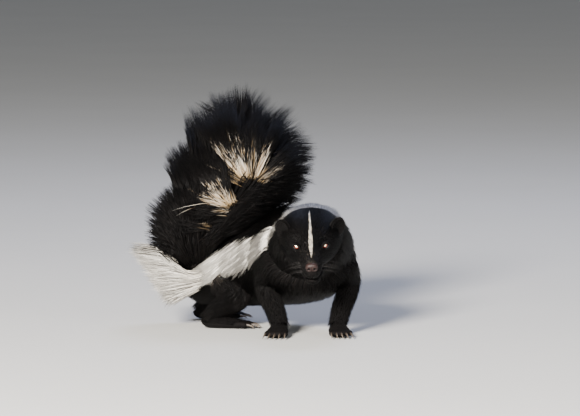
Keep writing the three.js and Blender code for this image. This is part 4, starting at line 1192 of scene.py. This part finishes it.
def lid_fur(side, count, seed):
    """Short fur over the lids, from near the eye's rim outwards and back over the bead."""
    share = spread(count, seed)
    centre, look, out, thick = lid_bead(side, share[:, 0] * TURN)
    turn = np.radians(115 - 115 * share[:, 1])[:, None]
    away = unit(out)
    rise = np.cos(turn) * away + np.sin(turn) * look
    root = centre + out + rise * (thick * 0.92)[:, None]
    lie = unit(away * np.sin(turn) - look * np.cos(turn) + away * 0.5 - HEAD_FORWARD * 0.4)
    length = rng.uniform(1.5, 2.8, count)[:, None]
    lift = rise * 0.35
    controls = [root, root + lie * length * 0.5 + lift, root + lie * length + lift * 0.4]
    grow_small(side, share, controls, np.cross(lie, lift), 0.5)


for side in (1, -1):
    lid_fur(side, 1000, 24 + side)
    ear_fur(side, 1300, 8 + side)
    ear_lining(side, 800, 14 + side)


# Legs and paws


def limb_line(joints, out, steps):
    """A limb's smooth line through its joints, with so many steps between two: shares, middles, ways,
    directions across and to the front, and half widths and depths with out added."""
    joints = np.array(joints, float)
    t = np.linspace(0, 1, steps * (len(joints) - 1) + 1)
    middle, way = spline(joints[:, :3], t), heading(joints[:, :3], t)
    knots = np.linspace(0, 1, len(joints))
    size = np.stack([smooth(t, knots, joints[:, k]) for k in (3, 4)], axis=1) + out
    across = unit(np.array([1.0, 0, 0]) - way * way[:, :1])
    return t, middle, way, across, np.cross(way, across), size


def thigh_whiteness(points):
    """The flank's stripe where it crosses the right thigh's top: white above a slanted line."""
    edge = 65 + 0.535 * (points[:, 0] + 34)
    return ramp(points[:, 2] - edge, -3, 3)


def leg_fur(joints, count, seed, row):
    """Fur down a limb: short, lying along it towards the foot, and shorter still on top of a thigh."""
    share = spread(count, seed)
    t, middle, way, across, facing, size = limb_line(joints, 0, 20)
    height = middle[np.clip((share[:, 0] * (len(t) - 1)).astype(int), 0, len(t) - 2), 2]
    angle = share[:, 1] * TURN
    length = rng.uniform(13, 20, count) * np.interp(share[:, 0], [0, 0.6, 1], [1.2, 0.95, 0.5])
    length = length * (1 - 0.65 * ramp(height, 50, 62) * (joints[0][2] < 70))
    span = np.linalg.norm(np.diff(middle, axis=0), axis=1).sum()

    def step(u, out):
        """The limb's surface a share of the hair's length further down, straight on past its end."""
        place = share[:, 0] + length * u / span
        here = np.clip(np.clip(place, 0, 1) * (len(t) - 1), 0, len(t) - 1.001)
        low = here.astype(int)
        w = (here - low)[:, None]
        mid = middle[low] * (1 - w) + middle[low + 1] * w
        past = np.maximum(0, place - 1)[:, None] * span
        wide = (size[low] * (1 - w) + size[low + 1] * w) + np.reshape(out, (-1, 1))
        return (mid + way[low] * past + (np.sin(angle) * wide[:, 0])[:, None] * across[low]
                + (np.cos(angle) * wide[:, 1])[:, None] * facing[low])

    controls = [step(0, -LEG_DEPTH - 0.5), step(0.35, -1.2), step(1, rng.uniform(-1.6, 2.0, count))]
    sideways = np.cross(controls[2] - controls[0], step(0.5, 1) - step(0.5, 0)) + scatter(count, 0.5)
    controls = [np.maximum(c, [-np.inf, -np.inf, 0.8]) for c in controls]
    white = (rng.random(count) < thigh_whiteness(controls[2])) & (joints is HINDLEGS[-1])
    width, draw = 1.35 * rng.uniform(0.7, 1.25, count), rng.random(count)
    for chosen, coat in ((~white, coat_legs), (white, coat_white)):
        coat.grow([c[chosen] for c in controls], sideways[chosen], width[chosen], white[chosen] * 0.9, "legs",
                  ((row + share[chosen, 0]) / 8, share[chosen, 1]), draw[chosen])


def paw_directions(paw):
    """A paw's wrist or heel on the floor, and the directions ahead and to its left."""
    x, y, way = paw[:3]
    ahead = np.array([math.cos(math.radians(way)), math.sin(math.radians(way)), 0])
    return np.array([x, y, 0.0]), ahead, np.array([-ahead[1], ahead[0], 0])


def palm_at(paw, share, front_height, front_wide):
    """A palm's middle line from behind the wrist to the toes, and its half heights and widths."""
    wrist, ahead, _ = paw_directions(paw)
    height = smooth(share, [0, 0.3, 0.7, 1], [8.4, 8.0, 6.0, front_height])
    wide = smooth(share, [0, 0.3, 0.7, 1], [10.5, 12, 13.2, front_wide])
    middles = wrist + ((share * 1.04 - 0.14) * paw[3])[:, None] * ahead + (height * 0.92)[:, None] * UP
    return middles, height, wide


def paw_parts(paw):
    """The palm and toes of a paw as closed lofts: a domed wedge, and five bars rounded at both ends,
    with pads and a waist, bowed upwards."""
    wrist, ahead, aside = paw_directions(paw)
    share = np.linspace(0, 1, 12)
    middles, height, wide = palm_at(paw, share, 4.4, 12)
    domed = np.sqrt(np.maximum(0.05, 1 - (2 * share - 1) ** 4))
    parts = [bar(middles, aside, UP, wide * domed, height * domed, 24)]
    s = np.linspace(0, 1, 9)
    radius = TOE_RADIUS * (1 - 0.12 * s) * np.sqrt(np.maximum(0.06, 1 - (2 * s - 1) ** 6))
    radius = radius * (1 - 0.16 * np.sin(np.pi * s * 1.4) ** 2)
    for toe in TOES:
        forward = paw[3] * (0.86 - 0.5 * toe ** 2) - 12 + s * 19
        line = wrist + forward[:, None] * ahead + (toe * 2 * PAW_HALF * (0.7 + 0.16 * s))[:, None] * aside
        line = line + (4.6 + 1.2 * np.sin(np.pi * s))[:, None] * UP
        parts.append(bar(line, aside, UP, radius, radius * 0.95, 14))
    return parts


def claws_of(paw):
    """Five curved claws: cones bent down along an arc, a little deeper than wide, each with its points'
    shares of its length."""
    wrist, ahead, aside = paw_directions(paw)
    s = np.linspace(0, 1, 9)
    drop = 5.6 - 4.2 * s ** 2 - 0.3 * s
    wide, tall = (half * (1 - s) ** 0.8 + 0.12 for half in (1.25, 1.7))
    reach = (paw[4] + 2) * np.sin(s * CLAW_BEND) / math.sin(CLAW_BEND)
    lots = []
    for toe in TOES:
        forward = paw[3] * (0.86 - 0.5 * toe ** 2) + 4.5 + reach
        side = toe * 2 * PAW_HALF * (0.86 + 0.12 * s)
        line = wrist + forward[:, None] * ahead + side[:, None] * aside + drop[:, None] * UP
        lots.append((*bar(line, aside, UP, wide, tall, 10), np.append(np.repeat(s, 10), [0, 1])))
    return lots


def paw_fur(paw, count, seed, row):
    """Short fur over the top and sides of a paw, lying towards its toes."""
    aside = paw_directions(paw)[2]
    share = spread(count, seed)
    angle = (share[:, 1] - 0.5) * 3.3

    def step(u, out):
        """The palm's surface a share of its length further ahead."""
        place = share[:, 0] + u
        middle, height, wide = palm_at(paw, place, 4.6, 12.6)
        domed = np.sqrt(np.maximum(0.1, 1 - (2 * np.clip(place, 0, 1) - 1) ** 4))
        return (middle + (np.sin(angle) * (wide * domed + out))[:, None] * aside
                + (np.cos(angle) * (height * domed + out))[:, None] * UP)

    reach = rng.uniform(3.5, 6.0, count) / paw[3]
    controls = [step(0, -0.8), step(reach * 0.5, 0.5), step(reach, rng.uniform(0.0, 1.0, count))]
    controls = [np.maximum(c, [-np.inf, -np.inf, 0.5]) for c in controls]
    coat_legs.grow(controls, np.cross(controls[2] - controls[0], UP) + scatter(count, 0.4), 0.95, 0.0,
                   "legs", ((row + share[:, 0]) / 8, share[:, 1]))


for row, joints in enumerate(LIMBS):
    leg_fur(joints, 2900, 20 + row, row)
for row, paw in enumerate(PAWS):
    paw_fur(paw, 1150, 30 + row, row + 4)

for coat in (coat_black, coat_white, coat_fan, coat_tail, coat_pale, coat_face, coat_legs):
    coat.make()


# The skin

MOUTH_GROOVE = 1.3  # how deep and wide the line between the lips is
BODY_NODES = ["head", "lower_jaw", "ear_left", "ear_right", "neck", "torso_front", "torso_rear",
              "tail_base", "tail_middle", "tail_end"]
LIMB_NODES = [f"{limb}_{side}" for limb in ("foreleg", "forepaw", "hindleg", "hindpaw")
              for side in ("left", "right")]


def wrapped(at, along, around, out):
    """A closed skin over a form: its points at places along it and equal angles round it."""
    return closed_loft(at(along[:, None], circle(around)[None], out))


def tail_core():
    """The dense down round the bone: rings square to its way."""
    t = np.linspace(0, 1, 40)
    way = heading(TAIL_BONE, t)
    facing = unit(np.cross([0.0, 1, 0], way))
    across = np.cross(way, facing)
    radius = tail_radius(t) * 0.86
    return bar(spline(TAIL_BONE, t), across[:, None], facing[:, None], radius, radius, 28)


def lid_ring(side):
    """The lids as a closed bead: small rings along lid_bead's line."""
    centre, look, out, thick = lid_bead(side, circle(40))
    return bar(centre + out, look, unit(out)[:, None], thick, thick, 12, looped=True)


def lip_bar(side):
    """A lip: a bar along the mouth's line, thickest midway."""
    t = np.linspace(0, 1, 24)
    line = spline(LIP_LINE, t) * [side, 1, 1]
    radius = 1.5 * np.sin(np.pi * (0.1 + 0.8 * t)) ** 0.5
    return bar(on_head(*line.T), HEAD_SIDE, HEAD_CROWN, radius, radius, 10)


def mean_near(roots, marks, points, cell=4.0):
    """The mean mark of the roots near each point: sums over cubic cells, spread to their neighbours."""
    low = np.minimum(roots.min(axis=0), points.min(axis=0)) - 3 * cell
    counts = np.ceil((np.maximum(roots.max(axis=0), points.max(axis=0)) + 3 * cell - low) / cell).astype(int)
    total, number = np.zeros(counts), np.zeros(counts)
    at = tuple(((roots - low) / cell).astype(int).T)
    np.add.at(total, at, marks)
    np.add.at(number, at, 1)
    for _ in range(2):
        for axis in range(3):
            total, number = (v + 0.5 * (np.roll(v, 1, axis) + np.roll(v, -1, axis))
                             for v in (total, number))
    at = tuple(((points - low) / cell).astype(int).T)
    return total[at] / np.maximum(number[at], 1e-6)


def make_skin():
    """One skin: the head melted finely, the body coarsely, both without a seam under the coat. The
    mouth's line is pressed in, less with distance as a bell curve is. Its white is the coat's near it."""
    ahead = np.linspace(36, -57, 60)
    head_parts = [wrapped(partial(head_at, SKULL_STATIONS), ahead, 64, -fur_depth(ahead)[:, None]),
                  wrapped(partial(head_at, JAW_STATIONS), np.linspace(28.5, -18, 30), 40, -JAW_DEPTH)]
    for side in (1, -1):
        head_parts += [ear_shell(side), lid_ring(side), lip_bar(side)]
    body_parts = [wrapped(trunk.at, np.linspace(0, 1, 60), 48, -TRUNK_DEPTH),
                  wrapped(neck.at, np.linspace(0, 1, 30), 48, -NECK_DEPTH), tail_core()]
    for joints in LIMBS:
        _, middle, _, across, facing, size = limb_line(joints, -LEG_DEPTH, 8)
        body_parts.append(bar(middle, across[:, None], facing[:, None], *size.T, 24))
    for paw in PAWS:
        body_parts += paw_parts(paw)
    head, head_faces = fused("head_form", head_parts, 1.0, 2)
    line = spline(LIP_LINE, np.linspace(0, 1, 40)[::2]) - [0, 0, 1.9]
    lips = np.concatenate([on_head(*(line * [s, 1, 1]).T) for s in (1, -1)])
    gap = np.min(np.linalg.norm(head[:, None] - lips, axis=2), axis=1)
    head = head - normals_of(head, head_faces) * (MOUTH_GROOVE * np.exp(-(gap / MOUTH_GROOVE) ** 2))[:, None]
    body, body_faces = fused("body_form", body_parts, 2.3, 3)
    body[:, 2] = np.maximum(body[:, 2], 0.02)
    points, faces = joined([(head, head_faces), (body, body_faces)])
    white = mean_near(np.concatenate(coat_roots), np.concatenate(coat_marks), points)
    mesh = mesh_of("skunk_skin", points, faces)
    # the skin takes the coat's colour at 0.3 of a hair's length, with part of the painted shade at its root
    colour_points(mesh, "coat", white * 0.8, 0.3, np.random.default_rng(5).random(len(points)))
    number_points(mesh, "pale_end", np.full(len(points), UNENDING))
    shown("skin", mesh, SKIN, "black_fur", *BODY_NODES, *LIMB_NODES)


make_skin()


# Nose, eyes, claws and whiskers

VIEWED_FROM = math.radians(5)  # how high the camera stands over the level
# the eyes' painted eyeshine is centred on this way
VIEWED = np.array([0.0, -math.cos(VIEWED_FROM), math.sin(VIEWED_FROM)])  # the way to it, where the eyes look
NOSE_SIZE, NOSE_POWER = (7.7, 5.6, 4.6), 2.6  # half width, height and depth, and how square it is


def ball_grid(rows, around):
    """Directions of a globe, to the side, up and ahead: rings from pole to pole."""
    polar, turn = ((np.arange(rows) + 0.5) / rows * np.pi)[:, None], circle(around)
    return np.broadcast_arrays(np.sin(polar) * np.sin(turn), np.sin(polar) * np.cos(turn), np.cos(polar))


def make_nose():
    """The nose pad: a globe flattened and squared by a power of its steps, with a groove down its
    middle, and on each side a nostril pushed in, whose slit runs out and down."""
    side, up, ahead = ball_grid(60, 90)
    out = 1 / sum(np.abs(v) ** NOSE_POWER for v in (side, up, ahead)) ** (1 / NOSE_POWER)
    x, y, z = (v * out * half for v, half in zip((side, up, ahead), NOSE_SIZE))
    y = y + 0.5 * (1 - (x / NOSE_SIZE[0]) ** 2)
    groove = 0.8 * np.exp(-(x / 0.55) ** 2) * (z > 0) * ramp(-y, -4, 1)
    hollow = np.zeros_like(x)
    for s in (1, -1):
        nostril = np.exp(-(((x - s * 3.5) / 1.5) ** 2 + ((y + 0.4) / 1.7) ** 2) ** 2)
        slit = np.exp(-((y + 1.5 - 0.15 * (x - s * 4)) / 0.7) ** 2) * ramp(s * x, 3.0, 4.4)
        hollow = np.maximum(hollow, np.maximum(nostril, slit * 0.8))
    z = np.where(z > -1, z - 2.6 * hollow - groove, z)
    mesh = mesh_of("nose_pad", *closed_loft(on_head(x, 32.4 + z, -9.8 + y)))
    # how far each point is pushed in, which the material also paints as shade
    value = np.append(np.clip(hollow * 1.3, 0, 1), [0, 0])
    colour_points(mesh, "hollow", value, value, value)
    shown("nose_pad", mesh, NOSE, "nose_skin", "nose")


def make_eye(side, node):
    """The eye: a globe whose front bulges a little as the cornea does. Its painted eyeshine, a pale
    metallic spot with a red rim round it, is by the distance from the line of sight, and the points behind
    count as far from it."""
    look = turned(HEAD_FORWARD, HEAD_CROWN, side * math.radians(30))
    x, y, z = (v[..., None] for v in ball_grid(40, 56))
    centre, radius = eye_middle(side), EYE_RADIUS * 0.97 * (1 + 0.05 * ramp(z, 0.6, 1.0))
    grid = x * np.cross(HEAD_CROWN, look) + y * HEAD_CROWN + z * look
    points, faces = closed_loft(centre + grid * radius)
    mesh = mesh_of(node + "_ball", points, faces)
    step = points[:-2] - centre
    ahead = step @ VIEWED
    glance = np.linalg.norm(step - ahead[:, None] * VIEWED, axis=1) + 20 * (ahead < 0)
    glance = np.append(glance, [20, 20])
    # painted eyeshine: a pale spot and a red rim round where the line of sight meets the eye
    rim = ramp(glance, 1.3, 1.6) * (1 - ramp(glance, 2.3, 2.8))
    colour_points(mesh, "painted_eyeshine", 1 - ramp(glance, 1.35, 1.75), rim, 0)
    shown(node + "_ball", mesh, EYE, "eye", node)


def make_claws():
    """All claws as one piece, with each point's share of its claw's length."""
    lots = [lot for paw in PAWS for lot in claws_of(paw)]
    mesh = mesh_of("claws", *joined([(points, faces) for points, faces, _ in lots]))
    along = np.concatenate([shares for _, _, shares in lots])
    colour_points(mesh, "along", along, along, along)
    shown("claws", mesh, CLAW, "paw")


def make_whiskers():
    """Nine whiskers on each side of the muzzle: thin bars that droop as they go."""
    draw = np.random.default_rng(9)
    s = np.linspace(0, 1, 9)
    radius = 0.22 * (1 - 0.8 * s)
    lots = []
    for side in np.repeat([1, -1], 9):
        ahead, low = draw.uniform(12, 27), draw.uniform(-22, -12)
        start = on_head(side * smooth(ahead, [12, 27], [13.5, 9.5]), ahead, low)
        reach = draw.uniform(20, 36)
        tip = start + HEAD_SIDE * side * reach * 0.8 - HEAD_FORWARD * reach * 0.35 - UP * reach * 0.35
        line = bezier([start, start * 0.5 + tip * 0.5 + [0, -1, reach * 0.12], tip], s[:, None])
        lots.append(bar(line, HEAD_CROWN, HEAD_FORWARD, radius, radius, 5))
    shown("whiskers", mesh_of("whiskers", *joined(lots)), WHISKER, "black_fur")


make_nose()
make_eye(1, "eye_left")
make_eye(-1, "eye_right")
make_claws()
make_whiskers()


# Floor, lights and camera

TARGET = (0.0, 0.0, 0.15)  # what the lights are turned to, in metres in the part's frame
LIGHTS = [  # name, place, size, power and colour
    ("key", (-1.3, -3.5, 1.7), 1.0, 700, (1.0, 0.955, 0.88)),
    ("fill", (2.6, -1.8, 1.2), 1.6, 22, (0.93, 0.96, 1.0)),
    ("catch", (0.15, -5.0, 0.65), 0.5, 55, (1.0, 0.97, 0.92)),
    ("rim", (0.5, 1.6, 2.6), 1.2, 44, (0.60, 0.68, 1.0))]
FLOOR_CORNERS = [(-6, -8, -0.0002), (6, -8, -0.0002), (6, 12, -0.0002), (-6, 12, -0.0002)]
CAMERA_AIM, CAMERA_AWAY = np.array([56.25, 0.0, 157.8]), 6000.0


def aimed(name, data, place, aim):
    """A light or a camera at a place, turned to look at another, upright."""
    thing = staged(name, data)
    thing.location = Vector(place)
    thing.rotation_euler = (Vector(aim) - Vector(place)).to_track_quat("-Z", "Y").to_euler()
    return thing


ground = bpy.data.meshes.new("floor")
ground.from_pydata(FLOOR_CORNERS, [], [(0, 1, 2, 3)])
ground.materials.append(cloudy_material(
    "pale_floor", 3.0, (0.60, 0.59, 0.57, 1), (0.64, 0.63, 0.61, 1), 40.0, 0.7, 0.8))
floor = staged("floor", ground)

for name, place, size, power, colour in LIGHTS:
    lamp = bpy.data.lights.new(name, "AREA")
    lamp.shape, lamp.size, lamp.energy, lamp.color = "DISK", size, power, colour
    aimed(name, lamp, place, TARGET)
world = bpy.data.worlds.new("studio")
bpy.context.scene.world = world
world.use_nodes = True
sky = world.node_tree.nodes["Background"].inputs
sky[0].default_value, sky[1].default_value = (0.88, 0.93, 1.0, 1), 0.22

lens = bpy.data.cameras.new("camera")
lens.sensor_width, lens.lens, lens.clip_end = 36.0, 298.0, 100.0
place = placed(CAMERA_AIM + CAMERA_AWAY * VIEWED)
bpy.context.scene.camera = aimed("camera", lens, place, placed(CAMERA_AIM))

bpy.context.view_layer.update()
